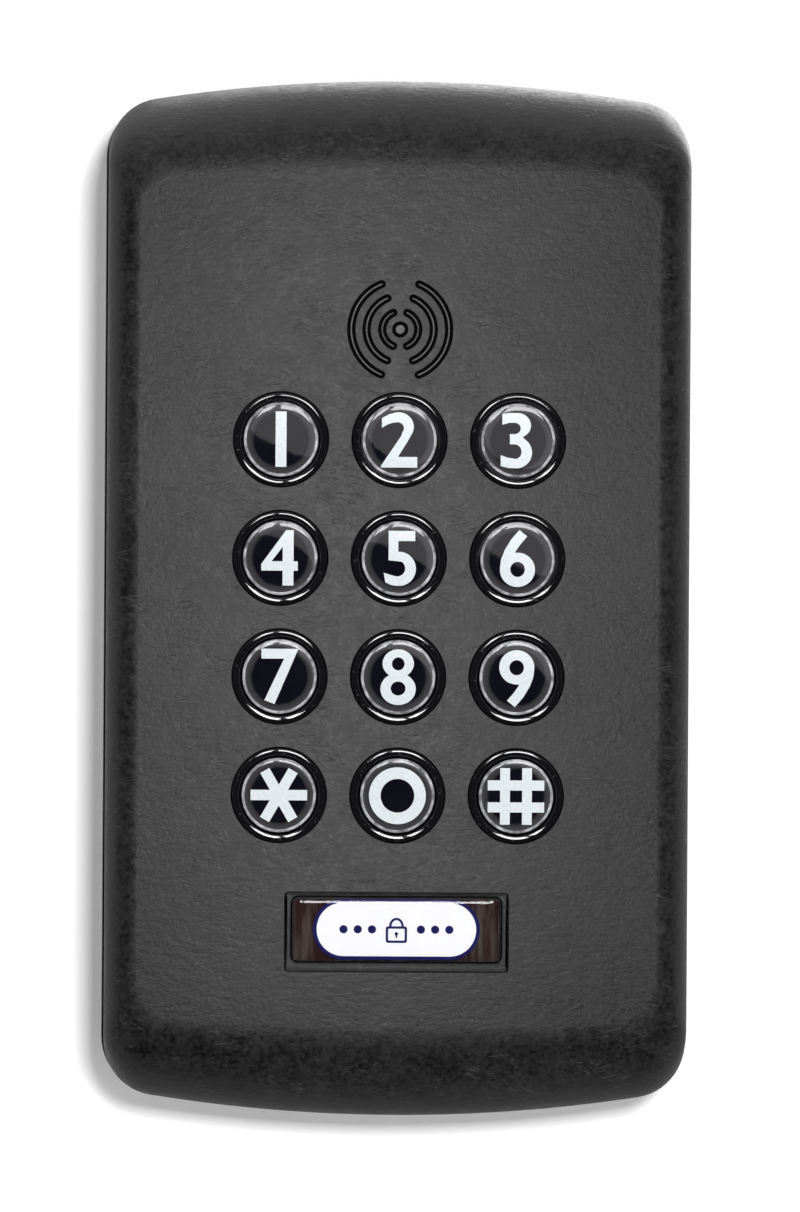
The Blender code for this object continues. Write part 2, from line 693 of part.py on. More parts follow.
def make_keys():
    """Twelve domed caps, each with the conductive pill that its rubber dome carries."""
    edge = CAP_CROWN - 1.0
    cap = [
        (0, CAP_CROWN),
        (CAP_RADIUS * 0.53, CAP_CROWN - 0.17),
        (CAP_RADIUS * 0.88, edge + 0.4),
        (CAP_RADIUS, edge),
        (CAP_RADIUS, FLANGE_FRONT - FACE),
        (FLANGE_RADIUS, FLANGE_FRONT - FACE),
        (FLANGE_RADIUS, FLANGE_BACK - FACE),
        (0, FLANGE_BACK - FACE),
    ]
    for name, u, v in key_places():
        add_turned(f"key_cap_{name}", cap, "key_resin", (u, v, FACE))
    pill = [(0, PILL_FRONT), (PILL_RADIUS, PILL_FRONT), (PILL_RADIUS, PILL_BACK), (0, PILL_BACK)]
    for name, u, v in key_places():
        add_turned(f"contact_pill_{name}", pill, "carbon", (u, v, 0.0), SMALL_ROUND)


def make_keymat():
    """One-piece silicone mat with a hollow dome under every key."""
    size = (KEYPAD_WIDTH - THIN_GAP * 8, KEYPAD_HEIGHT - THIN_GAP * 8)
    web = prism(rounded_rectangle(size, 2.0, (0.0, KEYPAD_CENTRE)), MAT_BACK, MAT_FRONT)
    mat = add_solid("silicone_keymat", web, "silicone")

    joins, cuts = helper_groups("silicone_keymat")
    in_web = (MAT_BACK + MAT_FRONT) / 2
    ceiling = DOME_TOP - DOME_WALL
    dome = [(0, DOME_TOP), (DOME_TOP_RADIUS, DOME_TOP), (DOME_FOOT_RADIUS, in_web), (0, in_web)]
    hollow_foot = DOME_FOOT_RADIUS - DOME_WALL + 4 * THIN_GAP
    hollow = [
        (0, ceiling),
        (PILL_RADIUS + 4 * THIN_GAP, ceiling),
        (hollow_foot, MAT_BACK + FIT_GAP),
        (hollow_foot, MAT_BACK - PAST),
        (0, MAT_BACK - PAST),
    ]
    for name, u, v in key_places():
        add_turned_helper(joins, f"dome_{name}", dome, (u, v, 0.0), SMALL_ROUND)
        add_turned_helper(cuts, f"dome_hollow_{name}", hollow, (u, v, 0.0), SMALL_ROUND)
    combine(mat, "UNION", joins)
    combine(mat, "DIFFERENCE", cuts)


# ---------------------------------------------------------------- badge and status light


def make_badge():
    """Smoked window in the recess, a printed label on it, and a clear resin dome over both."""
    window_back = BADGE_FLOOR + THIN_GAP
    window_front = window_back + WINDOW_THICKNESS
    outline = rounded_rectangle(BADGE, BADGE_CORNER, BADGE_CENTRE)
    window = add_solid("smoked_window", prism(outline, window_back, window_front), "smoked_lens")
    joins = new_collection("smoked_window_joins", hidden=True)
    boss = (WINDOW_SLOT[0] - 2 * FIT_GAP, WINDOW_SLOT[1] - 2 * FIT_GAP)
    boss_front = window_back + WINDOW_THICKNESS / 2
    add_helper(joins, "window_boss", box(boss, BADGE_CENTRE, WINDOW_BOSS_BACK, boss_front))
    combine(window, "UNION", joins)

    label_back = window_front + THIN_GAP
    label_front = label_back + LABEL_THICKNESS
    label = rounded_rectangle(LABEL, LABEL[1] / 2 - THIN_GAP, BADGE_CENTRE, 6)
    add_solid("badge_label", prism(label, label_back, label_front), "label_white")

    crown = FACE + DOME_CROWN
    steps = [(0.0, label_back), (0.0, crown - 0.8), (0.5, crown - 0.32), (1.3, crown - 0.08), (2.2, crown)]
    sections = []
    for inset, height in steps:
        size = (BADGE[0] - 2 * inset, BADGE[1] - 2 * inset)
        sections.append((rounded_rectangle(size, BADGE_CORNER, BADGE_CENTRE), height))
    dome = add_solid("badge_dome", loft(sections), "clear_resin")
    cuts = new_collection("badge_dome_cuts", hidden=True)
    pocket_size = (LABEL[0] + 4 * THIN_GAP, LABEL[1] + 4 * THIN_GAP)
    pocket = rounded_rectangle(pocket_size, LABEL[1] / 2, BADGE_CENTRE, 6)
    add_helper(cuts, "label_pocket", prism(pocket, label_back - PAST, label_front + THIN_GAP))
    combine(dome, "DIFFERENCE", cuts)


def make_status_lights():
    """Three chips on the board and the bar that carries their light to the window."""
    pipe_front = WINDOW_BOSS_BACK - 4 * THIN_GAP
    add_solid("status_light_pipe", box(LIGHT_PIPE, BADGE_CENTRE, LIGHT_PIPE_BACK, pipe_front), "clear_resin")
    for name, u in LED_PLACES.items():
        chip = box(LED_SIZE, (u, BADGE_CENTRE[1]), BOARD_FRONT + THIN_GAP, BOARD_FRONT + LED_HEIGHT)
        add_solid(f"status_led_{name}", chip, f"led_{name}")


# ---------------------------------------------------------------- electronics


def make_circuit_board():
    outline = rounded_rectangle(BOARD, 2.0)
    board = add_solid("circuit_board", prism(outline, BOARD_BACK, BOARD_FRONT), "board_green")
    cuts = new_collection("circuit_board_cuts", hidden=True)
    for number, centre in enumerate(BOARD_POSTS):
        hole = rod(BOARD_SHANK + FIT_GAP, BOARD_BACK - PAST, BOARD_FRONT + PAST, centre)
        add_helper(cuts, f"board_hole_{number}", hole)
    combine(board, "DIFFERENCE", cuts)


def make_antenna_coil():
    """Flat winding of enamelled wire that reads the card, under the engraved symbol."""
    inner_size = (ANTENNA[0] - 2 * WINDING_WIDTH, ANTENNA[1] - 2 * WINDING_WIDTH)
    outer = rounded_rectangle(ANTENNA, 4.0, ANTENNA_CENTRE)
    inner = rounded_rectangle(inner_size, 4.0 - WINDING_WIDTH, ANTENNA_CENTRE)
    low = BOARD_FRONT + THIN_GAP
    high = low + WINDING_THICKNESS
    ring = loft([(outer, low), (outer, high), (inner, high), (inner, low)], "ring")
    add_solid("antenna_coil", ring, "copper")


def make_board_parts():
    """Sounder, microcontroller and relay on the back of the board."""
    seat = BOARD_BACK - THIN_GAP
    sounder = [
        (0, seat),
        (SOUNDER_RADIUS, seat),
        (SOUNDER_RADIUS, SOUNDER_BACK),
        (SOUND_HOLE, SOUNDER_BACK),
        (SOUND_HOLE, SOUNDER_BACK + PAST),
        (0, SOUNDER_BACK + PAST),
    ]
    add_turned("sounder", sounder, "component_black", (*SOUNDER_AT, 0.0))
    for name, centre, (width, height, depth) in (
        ("microcontroller", CHIP_AT, CHIP),
        ("door_relay", RELAY_AT, RELAY),
    ):
        add_solid(name, box((width, height), centre, seat - depth, seat), "component_black")


def make_terminal_block():
    """Screw terminals for the cable's cores, opening upwards towards the cable entry."""
    width = TERMINAL_WAYS * TERMINAL_PITCH + 2 * FIT_GAP
    seat = BOARD_BACK - THIN_GAP
    body = box((width, TERMINAL_DEPTH), TERMINAL_AT, TERMINAL_BACK, seat)
    block = add_solid("terminal_block", body, "terminal_green")
    cuts = new_collection("terminal_block_cuts", hidden=True)
    port_width, port_back, port_front = WIRE_PORT
    mouth = TERMINAL_AT[1] + TERMINAL_DEPTH / 2
    for way in range(TERMINAL_WAYS):
        u = (way - (TERMINAL_WAYS - 1) / 2) * TERMINAL_PITCH
        port = box((port_width, TERMINAL_DEPTH * 0.65), (u, mouth), port_back, port_front)
        well = (u, mouth - TERMINAL_DEPTH * 0.65)
        add_helper(cuts, f"wire_port_{way}", port)
        well_rod = rod(port_width / 2, TERMINAL_BACK - PAST, port_back - 2 * ROOT, well, TINY_ROUND)
        add_helper(cuts, f"clamp_well_{way}", well_rod)
    combine(block, "DIFFERENCE", cuts)


def make_tamper_switch():
    """Sprung plunger that reaches through the floor and the wall plate to the wall."""
    body = box((SWITCH_SIDE, SWITCH_SIDE), TAMPER_AT, SWITCH_BACK, BOARD_BACK - THIN_GAP)
    switch = add_solid("tamper_switch", body, "component_black")
    cuts = new_collection("tamper_switch_cuts", hidden=True)
    add_helper(cuts, "switch_bore", rod(PLUNGER_BORE, SWITCH_BACK - PAST, SWITCH_BORE_END, TAMPER_AT))
    combine(switch, "DIFFERENCE", cuts)
    plunger = [
        (0, PLUNGER_FRONT),
        (PLUNGER_RADIUS, PLUNGER_FRONT),
        (PLUNGER_RADIUS, COLLAR_FRONT),
        (PLUNGER_COLLAR, COLLAR_FRONT),
        (PLUNGER_COLLAR, COLLAR_BACK),
        (PLUNGER_RADIUS, COLLAR_BACK),
        (PLUNGER_RADIUS, PLUNGER_TIP + FIT_GAP),
        (PLUNGER_RADIUS - FIT_GAP, PLUNGER_TIP),
        (0, PLUNGER_TIP),
    ]
    add_turned("tamper_plunger", plunger, "white_plastic", (*TAMPER_AT, 0.0), SMALL_ROUND)
    make_tamper_spring()


def make_tamper_spring():
    """Compression spring between the plunger's collar and the switch."""
    low = COLLAR_FRONT + FIT_GAP
    high = SWITCH_BACK - FIT_GAP
    points_a_turn = 10
    count = int(SPRING_TURNS * points_a_turn)
    curve = bpy.data.curves.new("tamper_spring", "CURVE")
    curve.dimensions = "3D"
    curve.bevel_depth = SPRING_WIRE * MM
    curve.bevel_resolution = 1
    curve.use_fill_caps = True
    coil = curve.splines.new("POLY")
    coil.points.add(count)
    for i, point in enumerate(coil.points):
        angle = 2 * math.pi * i / points_a_turn
        across, up = polar((0.0, 0.0), SPRING_RADIUS, angle)
        height = low + (high - low) * i / count
        point.co = (across * MM, up * MM, height * MM, 1.0)
    add_object("tamper_spring", curve, (*TAMPER_AT, 0.0), "steel")


clear_scene()
READER = new_collection("keypad_access_reader")
FACE_FRAME = bpy.data.objects.new("face_frame", None)
FACE_FRAME.rotation_euler = (math.pi / 2, 0.0, 0.0)
READER.objects.link(FACE_FRAME)
MATERIALS = make_materials()

make_front_cover()
make_rear_housing()
make_case_gasket()
make_wall_plate()
make_grommet()
make_screws()
make_guide_frame()
make_keys()
make_keymat()
make_badge()
make_status_lights()
make_circuit_board()
make_antenna_coil()
make_board_parts()
make_terminal_block()
make_tamper_switch()
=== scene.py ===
"""Keypad access reader: finished pieces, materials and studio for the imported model.

Pieces are shaped in a face frame, in millimetres: u to the right, v up, w out of the wall towards the keys.
TO_WORLD stands that frame upright, in metres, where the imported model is: +Z up and the keys facing -Y.
"""

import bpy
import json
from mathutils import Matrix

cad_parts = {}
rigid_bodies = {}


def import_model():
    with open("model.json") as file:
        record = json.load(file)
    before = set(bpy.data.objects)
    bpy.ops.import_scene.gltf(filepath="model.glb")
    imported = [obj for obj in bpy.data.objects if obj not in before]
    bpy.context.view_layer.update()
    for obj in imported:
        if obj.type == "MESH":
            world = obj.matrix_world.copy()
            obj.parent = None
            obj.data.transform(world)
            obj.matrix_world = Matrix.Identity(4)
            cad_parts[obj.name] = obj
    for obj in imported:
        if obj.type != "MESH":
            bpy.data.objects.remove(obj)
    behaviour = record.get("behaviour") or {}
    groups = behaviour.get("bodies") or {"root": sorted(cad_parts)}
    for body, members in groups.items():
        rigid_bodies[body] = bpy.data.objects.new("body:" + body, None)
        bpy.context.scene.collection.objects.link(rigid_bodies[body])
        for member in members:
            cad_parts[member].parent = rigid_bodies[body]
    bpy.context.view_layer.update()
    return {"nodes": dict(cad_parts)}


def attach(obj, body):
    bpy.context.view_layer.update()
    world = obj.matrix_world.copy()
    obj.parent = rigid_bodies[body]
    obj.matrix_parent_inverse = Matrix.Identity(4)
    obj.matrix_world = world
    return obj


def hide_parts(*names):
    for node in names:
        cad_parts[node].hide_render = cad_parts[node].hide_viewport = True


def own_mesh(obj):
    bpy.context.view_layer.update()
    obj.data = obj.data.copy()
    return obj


bl_info = {
    "name": "Keypad access reader",
    "version": (1, 0, 0),
    "blender": (4, 5, 0),
    "location": "View3D > Sidebar > Reader",
    "description": "Makes the finished pieces, the materials and the studio of a keypad access reader",
    "category": "Object",
}

import json
import math

import bmesh
import bpy
from bpy.props import FloatProperty, FloatVectorProperty, IntProperty, PointerProperty
from mathutils import Matrix, Vector

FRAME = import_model()

MM = 0.001
TO_WORLD = Matrix.Rotation(math.pi / 2, 4, "X") @ Matrix.Scale(MM, 4)
HOUSING = "housing"
TAMPER = "tamper_plunger"

# Case, seen from the front
COVER_HALF_WIDTH = 37.2
COVER_HALF_HEIGHT = 66.2
COVER_CORNER = 7.1
END_BOW = 200.0
SIDE_START = 32.8
SIDE_DEPTH = 4.6
FLAT_HALF_HEIGHT = 54.2
FLAT_CORNER = 5.0
FLAT_BOW = 400.0
COVER_DRAFT = 0.2
COVER_WALL = 2.2
REAR_HALF_WIDTH = 37.5
REAR_HALF_HEIGHT = 65.9
REAR_CORNER_LEAST = 2.0
RIM_WALL = 2.2
TONGUE_WALL = 1.5

# Case, heights above the wall
FACE = 24.0
SHOULDER_FOOT = 12.0
COVER_EDGE = 5.8
HEM = 0.35
RIM_FRONT = 5.0
FLOOR_FRONT = 4.2
FLOOR_BACK = 2.4
PLATE_FRONT = 2.2
TONGUE_FRONT = 8.5
INSIDE = FACE - COVER_WALL

# Fits
FIT_GAP = 0.3
THIN_GAP = 0.05
PAST = 1.0
ROOT = 0.8
MERGE = 0.0002  # points nearer than this are one

# Screws
CASE_BOSSES = [(u, v) for u in (-28.0, 28.0) for v in (-55.0, 55.0)]
CASE_BOSS = 3.5
CASE_BOSS_BACK = 7.5
CASE_PILOT = 1.75
CASE_PILOT_END = 15.0
CASE_SCREW = {"tip": 14.0, "seat": 4.5, "shank": 1.35, "head": 2.8, "thread": 1.62}
BOARD_POSTS = [(u, v) for u in (-27.5, 27.5) for v in (-44.5, 44.5)]
BOARD_POST = 2.7
BOARD_POST_BACK = 15.3
BOARD_PILOT = 1.3
BOARD_PILOT_END = 20.5
BOARD_SCREW = {"tip": 20.0, "seat": 13.35, "shank": 1.0, "head": 2.3, "thread": 1.2}
LOCK_SCREW = {"tip": -57.8, "seat": -64.9, "shank": 1.1, "head": 1.95, "thread": 1.3}
LOCK_SCREW_END = -65.75
LOCK_HEIGHT = 2.5
HEAD_HEIGHT = 1.8
THREAD_PITCH = 0.6
CROSS_WIDTH = 0.55
SOCKET_RADIUS = 1.05
SOCKET_PIN = 0.35

# Keys
KEY_PITCH = 15.0
TOP_ROW = 20.0
KEY_NAMES = (("1", "2", "3"), ("4", "5", "6"), ("7", "8", "9"), ("star", "0", "hash"))
CAP_RADIUS = 4.75
COLLAR_INNER = 4.95
COLLAR_OUTER = 5.9
COLLAR_TOP = 24.7
COLLAR_CREST = 5.525
# The collar's rim, as (radius, drop below its top)
COLLAR_OUTSIDE = (
    (COLLAR_OUTER, 0.42), (5.895, 0.30), (5.885, 0.20), (5.865, 0.135), (5.835, 0.095), (5.80, 0.066),
    (5.55, 0.004), (COLLAR_CREST, 0.0),
)
COLLAR_INSIDE = (
    (COLLAR_CREST, 0.0), (5.50, 0.004), (5.18, 0.084), (5.13, 0.115), (5.08, 0.165), (5.03, 0.25),
    (4.98, 0.38), (COLLAR_INNER, 0.55),
)
KEY_HOLE = 6.05
FLANGE_RADIUS = 5.6
FLANGE_FRONT = 19.7
FLANGE_BACK = 18.8
FRAME_FRONT = 21.5
FRAME_BACK = 20.0
FRAME_SKIRT = 16.6
FRAME_WALL = 1.2
KEYPAD = (48.0, 60.0)
KEYPAD_CENTRE = (0.0, TOP_ROW - 1.5 * KEY_PITCH)
STAKES = [(u, KEYPAD_CENTRE[1] + v) for u in (-21.8, 21.8) for v in (-27.8, 27.8)]
STAKE = 0.9
MAT_FRONT = 16.3
MAT_BACK = 15.3
DOME_TOP = 18.5
DOME_INSIDE = 17.6
DOME_FOOT = MAT_FRONT + 0.02
# One dome of the keymat in section, as (radius, height), once round from the inside of its foot
MAT_DOME = (
    (3.25, DOME_FOOT), (4.0, DOME_FOOT), (3.7, MAT_FRONT + 0.3), (2.5, 18.2), (2.3, 18.42), (2.0, DOME_TOP),
    (0, DOME_TOP), (0, DOME_INSIDE), (1.8, DOME_INSIDE), (3.25, DOME_FOOT),
)
PILL = {"back": 16.5, "front": 17.3, "radius": 1.6}
# Key caps: the dome's spherical radius, the drop of its edge and how late that drop comes
DOME_CURVE = 60.0
DOME_DROP = 0.06
DOME_TURN = 8
# Steps of the cap's edge from the dome outwards, as (outwards, down)
CAP_EDGE = ((0.07, 0.03), (0.15, 0.085), (0.26, 0.18))
CAP_RINGS = 12
LEGEND_ROOT = 0.12
PRINT_RINGS = 16

# Symbol and badge
SYMBOL_CENTRE = (0.0, 34.0)
SYMBOL_RADII = (2.28, 4.26, 6.2)
SYMBOL_GAP = math.radians(22.5)
SYMBOL_DOT = 0.6
MOUTH_FLARE = 0.06
RIDGE_ROOT = 0.1
RECESS = (28.2, 9.9)
RECESS_CENTRE = (0.0, -42.3)
RECESS_CORNER = 0.5
BADGE_FLOOR = 22.9
MOAT_WIDTH = 0.28
MOAT_DEPTH = 0.6
BADGE = (26.8, 8.5)
BADGE_CENTRE = (0.0, -41.95)
WINDOW_SLOT = (22.4, 4.8)
WINDOW_BOSS_BACK = 20.5
WINDOW_BACK = BADGE_FLOOR + THIN_GAP
WINDOW_FRONT = WINDOW_BACK + 0.55
LABEL = (21.1, 7.7)
LABEL_BACK = WINDOW_FRONT + THIN_GAP
LABEL_FRONT = LABEL_BACK + 0.13
PRINT = 0.03
CODE_DOTS = (3.1, 4.9, 6.7)
# The badge's clear dome, as (inwards from its wall, drop below its crown)
BADGE_DOME = (
    (0.0, 0.95), (0.10, 0.70), (0.28, 0.46), (0.55, 0.28), (0.95, 0.15), (1.5, 0.06), (2.2, 0.015),
    (3.0, 0.0),
)

# Rear
CABLE_AT = (0.0, 20.0)
CABLE_BORE = 3.5
GROMMET_NECK = 6.25
GROMMET_FLANGE = 8.3
PLATE_APERTURE = 10.0
GANG_SPACING = 83.3
ROUND_BOX_SPACING = 60.3
SLOT = (8.0, 3.8)
TAB_AT = 18.0
TAB = (8.0, 3.4)
TAB_REACH = 62.2
LUG = (11.0, 4.6, 6.0)
LUG_CENTRE = (0.0, -58.9)
TAMPER_AT = (20.0, -34.0)
PLUNGER = {"front": 11.2, "radius": 1.2, "collar": 2.4, "collar_back": 5.9, "collar_front": 6.7, "tip": 0.2}
PLUNGER_GUIDE = {"front": 5.6, "radius": 3.2, "bore": 1.5}
SPRING = {"back": 7.0, "front": 9.45, "radius": 1.8, "wire": 0.2, "turns": 3.5}

CORNER_STEPS = 12
BOW_STEPS = 14
ROUND_STEPS = 64
CAP_STEPS = 72
COLLAR_STEPS = 96

# Stage, in metres and in the model's frame
PALE = (0.93, 0.93, 0.93)
WALL_BEHIND = 0.0006
WALL_GLOW = 0.12
CAMERA_AIM = (0.0004, -0.012, -0.0010)
FACE_CENTRE = (0.0, -0.024, 0.0)
KEY_DISTANCE = 2.0
KEY_SIDE = 0.28
KEY_LEAN = (math.radians(7.5), math.radians(9.5))
SOFTBOX = {"place": (-0.003, -0.174, 0.008), "size": (0.045, 0.14), "radiance": 4.0}
CARD = {"place": (0.0136, -0.124, 0.0313), "size": (0.13, 0.05), "radiance": 1.2, "turn": math.radians(-25)}
# Strips of light above the reader, as (across, width)
STRIPS = {"strip_left": (-0.060, 0.050), "strip_right": (0.040, 0.110)}
STRIP_HEIGHT = 0.075
STRIP_DISTANCE = 0.25
STRIP_UP = math.radians(28)
STRIP_RADIANCE = 14.0
REAR_FILL = {"place": (0.5, 1.2, 0.7), "size": (1.2, 1.2), "radiance": 3.0}


# ---------------------------------------------------------------- settings


class ReaderCaseSettings(bpy.types.PropertyGroup):
    shoulder_steps: IntProperty(
        name="Shoulder steps", description="Facets across the rounded shoulder", default=22, min=4
    )
    hole_round: FloatProperty(
        name="Key hole edge", description="Rounding of the cover's key holes",
        default=0.09 * MM, unit="LENGTH", precision=5
    )
    groove_width: FloatProperty(
        name="Groove width", description="Width of the symbol's grooves",
        default=1.0 * MM, unit="LENGTH", precision=5
    )
    groove_depth: FloatProperty(
        name="Groove depth", description="Depth of the symbol's grooves",
        default=1.1 * MM, unit="LENGTH", precision=5
    )
    ridge_width: FloatProperty(
        name="Ridge width", description="Width of the fine ridge along each groove",
        default=0.21 * MM, unit="LENGTH", precision=5
    )
    colour: FloatVectorProperty(
        name="Case colour", description="Colour of the satin moulding", subtype="COLOR",
        size=3, min=0.0, max=1.0, default=(0.0085, 0.0085, 0.0090)
    )
    roughness: FloatProperty(
        name="Case roughness", description="Roughness of the satin moulding", subtype="FACTOR",
        min=0.0, max=1.0, default=0.42
    )
    gloss_colour: FloatVectorProperty(
        name="Gloss colour", description="Colour of the gloss rear housing and key collars",
        subtype="COLOR", size=3, min=0.0, max=1.0, default=(0.004, 0.004, 0.005)
    )


class ReaderKeySettings(bpy.types.PropertyGroup):
    crown: FloatProperty(
        name="Crown", description="Height of a key's middle above the cover's face",
        default=0.9 * MM, unit="LENGTH", precision=5
    )
    lens_radius: FloatProperty(
        name="Lens radius", description="Radius of the dark domed part of a key",
        default=4.36 * MM, unit="LENGTH", precision=5
    )
    legend_proud: FloatProperty(
        name="Legend height", description="How far the printed legend stands above the dome",
        default=0.03 * MM, unit="LENGTH", precision=5
    )
    colour: FloatVectorProperty(
        name="Key colour", description="Colour of the key's resin", subtype="COLOR",
        size=3, min=0.0, max=1.0, default=(0.004, 0.004, 0.008)
    )
    # painted glow: this colour lightens a ring outside the black disc, in place of the light the clear
    # resin gathers
    skirt_glow_colour: FloatVectorProperty(
        name="Skirt colour", description="Colour of the clear resin outside the key's black disc",
        subtype="COLOR", size=3, min=0.0, max=1.0, default=(0.050, 0.050, 0.054)
    )
    # painted highlight: light grey for the glow of the key's clear edge
    rim_glow_colour: FloatVectorProperty(
        name="Rim colour", description="Colour of the clear edge round the key's dome", subtype="COLOR",
        size=3, min=0.0, max=1.0, default=(0.42, 0.42, 0.44)
    )
    legend_colour: FloatVectorProperty(
        name="Legend colour", description="Colour of the printed legends", subtype="COLOR",
        size=3, min=0.0, max=1.0, default=(0.66, 0.71, 0.73)
    )


class ReaderBadgeSettings(bpy.types.PropertyGroup):
    crown: FloatProperty(
        name="Crown", description="Height of the badge's clear dome above the cover's face",
        default=0.85 * MM, unit="LENGTH", precision=5
    )
    border: FloatProperty(
        name="Border", description="Width of the dark border round the white field",
        default=0.45 * MM, unit="LENGTH", precision=5
    )
    window_colour: FloatVectorProperty(
        name="Window colour", description="Colour of the smoked window", subtype="COLOR",
        size=3, min=0.0, max=1.0, default=(0.022, 0.010, 0.009)
    )
    border_colour: FloatVectorProperty(
        name="Border colour", description="Colour of the border and the pictogram", subtype="COLOR",
        size=3, min=0.0, max=1.0, default=(0.010, 0.010, 0.11)
    )
    field_colour: FloatVectorProperty(
        name="Field colour", description="Colour of the white field", subtype="COLOR",
        size=3, min=0.0, max=1.0, default=(0.90, 0.90, 0.91)
    )


class ReaderStageSettings(bpy.types.PropertyGroup):
    distance: FloatProperty(
        name="Camera distance", description="From the camera to its aim at the reader", default=1.3,
        unit="LENGTH"
    )
    turn: FloatProperty(
        name="Camera turn", description="How far to the left the camera stands", default=math.radians(1.0),
        subtype="ANGLE"
    )
    roll: FloatProperty(
        name="Camera roll", description="Roll of the camera about its line of sight",
        default=math.radians(0.36), subtype="ANGLE"
    )
    frame_height: FloatProperty(
        name="Frame height", description="Height that the view takes in at the reader", default=0.1548,
        unit="LENGTH"
    )
    floor: FloatProperty(
        name="Floor height", description="Height of the floor below the reader's centre", default=-0.12,
        unit="LENGTH"
    )
    key_light: FloatProperty(
        name="Key light", description="Brightness that the key light gives a white wall", default=0.85,
        min=0.0
    )
    sky: FloatProperty(
        name="Surroundings", description="Brightness of the studio's walls", default=0.30, min=0.0
    )


# ---------------------------------------------------------------- outlines


def polar(centre, radius, angle):
    return centre[0] + radius * math.cos(angle), centre[1] + radius * math.sin(angle)


def bowed_outline(half_width, half_height, corner, bow):
    """Anticlockwise outline: straight sides, round corners, and ends bowed outwards at radius bow."""
    bow_centre = half_height - bow
    corner_u = half_width - corner
    corner_v = bow_centre + math.sqrt((bow - corner) ** 2 - corner_u**2)
    lean = math.atan2(corner_u, corner_v - bow_centre)
    corner_turns = [(math.pi / 2 - lean) * step / CORNER_STEPS for step in range(CORNER_STEPS + 1)]
    bow_turns = [math.pi / 2 - lean * (1 - step / BOW_STEPS) for step in range(1, BOW_STEPS + 1)]
    quarter = [polar((corner_u, corner_v), corner, turn) for turn in corner_turns]
    quarter += [polar((0.0, bow_centre), bow, turn) for turn in bow_turns]
    upper = quarter + [(-u, v) for u, v in reversed(quarter[:-1])]
    return upper + [(-u, -v) for u, v in upper]


def cover_outline(inset=0.0):
    return bowed_outline(
        COVER_HALF_WIDTH - inset, COVER_HALF_HEIGHT - inset, COVER_CORNER - inset, END_BOW - inset
    )


def rear_outline(inset=0.0):
    corner = max(COVER_CORNER - inset, REAR_CORNER_LEAST)
    return bowed_outline(REAR_HALF_WIDTH - inset, REAR_HALF_HEIGHT - inset, corner, END_BOW - inset)


def rounded_rectangle(size, corner, centre=(0.0, 0.0), steps=8):
    """Anticlockwise rectangle with round corners."""
    points = []
    for turn, (side_u, side_v) in enumerate(((1, 1), (-1, 1), (-1, -1), (1, -1))):
        middle = (centre[0] + side_u * (size[0] / 2 - corner), centre[1] + side_v * (size[1] / 2 - corner))
        points += [polar(middle, corner, math.pi / 2 * (turn + step / steps)) for step in range(steps + 1)]
    return points


def arc_band(radii, width, start, end, centre=(0.0, 0.0), steps=28, round_ends=0):
    """Anticlockwise outline of a band along a round or oval arc, with flat ends or round ones."""
    across, up = radii
    half = width / 2

    def on(side, angle):
        return (
            centre[0] + (across + side) * math.cos(angle),
            centre[1] + (up + side) * math.sin(angle),
        )

    sweep = [start + (end - start) * step / steps for step in range(steps + 1)]
    outline = [on(half, angle) for angle in sweep]
    parts = range(1, round_ends)
    outline += [polar(on(0.0, end), half, end + math.pi * part / round_ends) for part in parts]
    outline += [on(-half, angle) for angle in reversed(sweep)]
    outline += [polar(on(0.0, start), half, start + math.pi * (1 + part / round_ends)) for part in parts]
    return outline


def bar(start, end, width):
    """Anticlockwise outline of a straight stroke with square ends."""
    along = Vector((end[0] - start[0], end[1] - start[1])).normalized()
    side = Vector((-along.y, along.x)) * width / 2
    return [
        (start[0] - side.x, start[1] - side.y),
        (end[0] - side.x, end[1] - side.y),
        (end[0] + side.x, end[1] + side.y),
        (start[0] + side.x, start[1] + side.y),
    ]


# ---------------------------------------------------------------- shapes


def at_height(bm, height):
    """The edges that lie at one height."""
    return [edge for edge in bm.edges if all(abs(vert.co.z - height) < MERGE for vert in edge.verts)]


def round_off(bm, edges, radius, segments=3):
    bmesh.ops.bevel(
        bm, geom=edges, offset=radius, offset_type="OFFSET", segments=segments, profile=0.5,
        affect="EDGES", material=-1, clamp_overlap=True
    )


def prism(outline, low, high, front_round=0.0, back_round=0.0, segments=3):
    """A closed solid: one flat face extruded from low to high, with the rounds asked for."""
    bm = bmesh.new()
    face = bm.faces.new([bm.verts.new((u, v, low)) for u, v in outline])
    raised = bmesh.ops.extrude_face_region(bm, geom=[face])
    tops = [item for item in raised["geom"] if isinstance(item, bmesh.types.BMVert)]
    bmesh.ops.translate(bm, vec=(0, 0, high - low), verts=tops)
    bmesh.ops.recalc_face_normals(bm, faces=bm.faces)
    if front_round:
        round_off(bm, at_height(bm, high), front_round, segments)
    if back_round:
        round_off(bm, at_height(bm, low), back_round, segments)
    return bm


def loft(sections, ring=False, back=True):
    """Walls bridged between outlines of equal point count, each (outline, height), closed at their ends."""
    bm = bmesh.new()
    loops = []
    for outline, height in sections:
        points = [bm.verts.new((u, v, height)) for u, v in outline]
        loops.append([bm.edges.new((points[i - 1], points[i])) for i in range(len(points))])
    for lower, upper in zip(loops, loops[1:] + (loops[:1] if ring else [])):
        bmesh.ops.bridge_loops(bm, edges=lower + upper)
    if not ring:
        for end in [loops[0], loops[-1]] if back else [loops[-1]]:
            bmesh.ops.contextual_create(bm, geom=end)
    bmesh.ops.recalc_face_normals(bm, faces=bm.faces)
    return bm


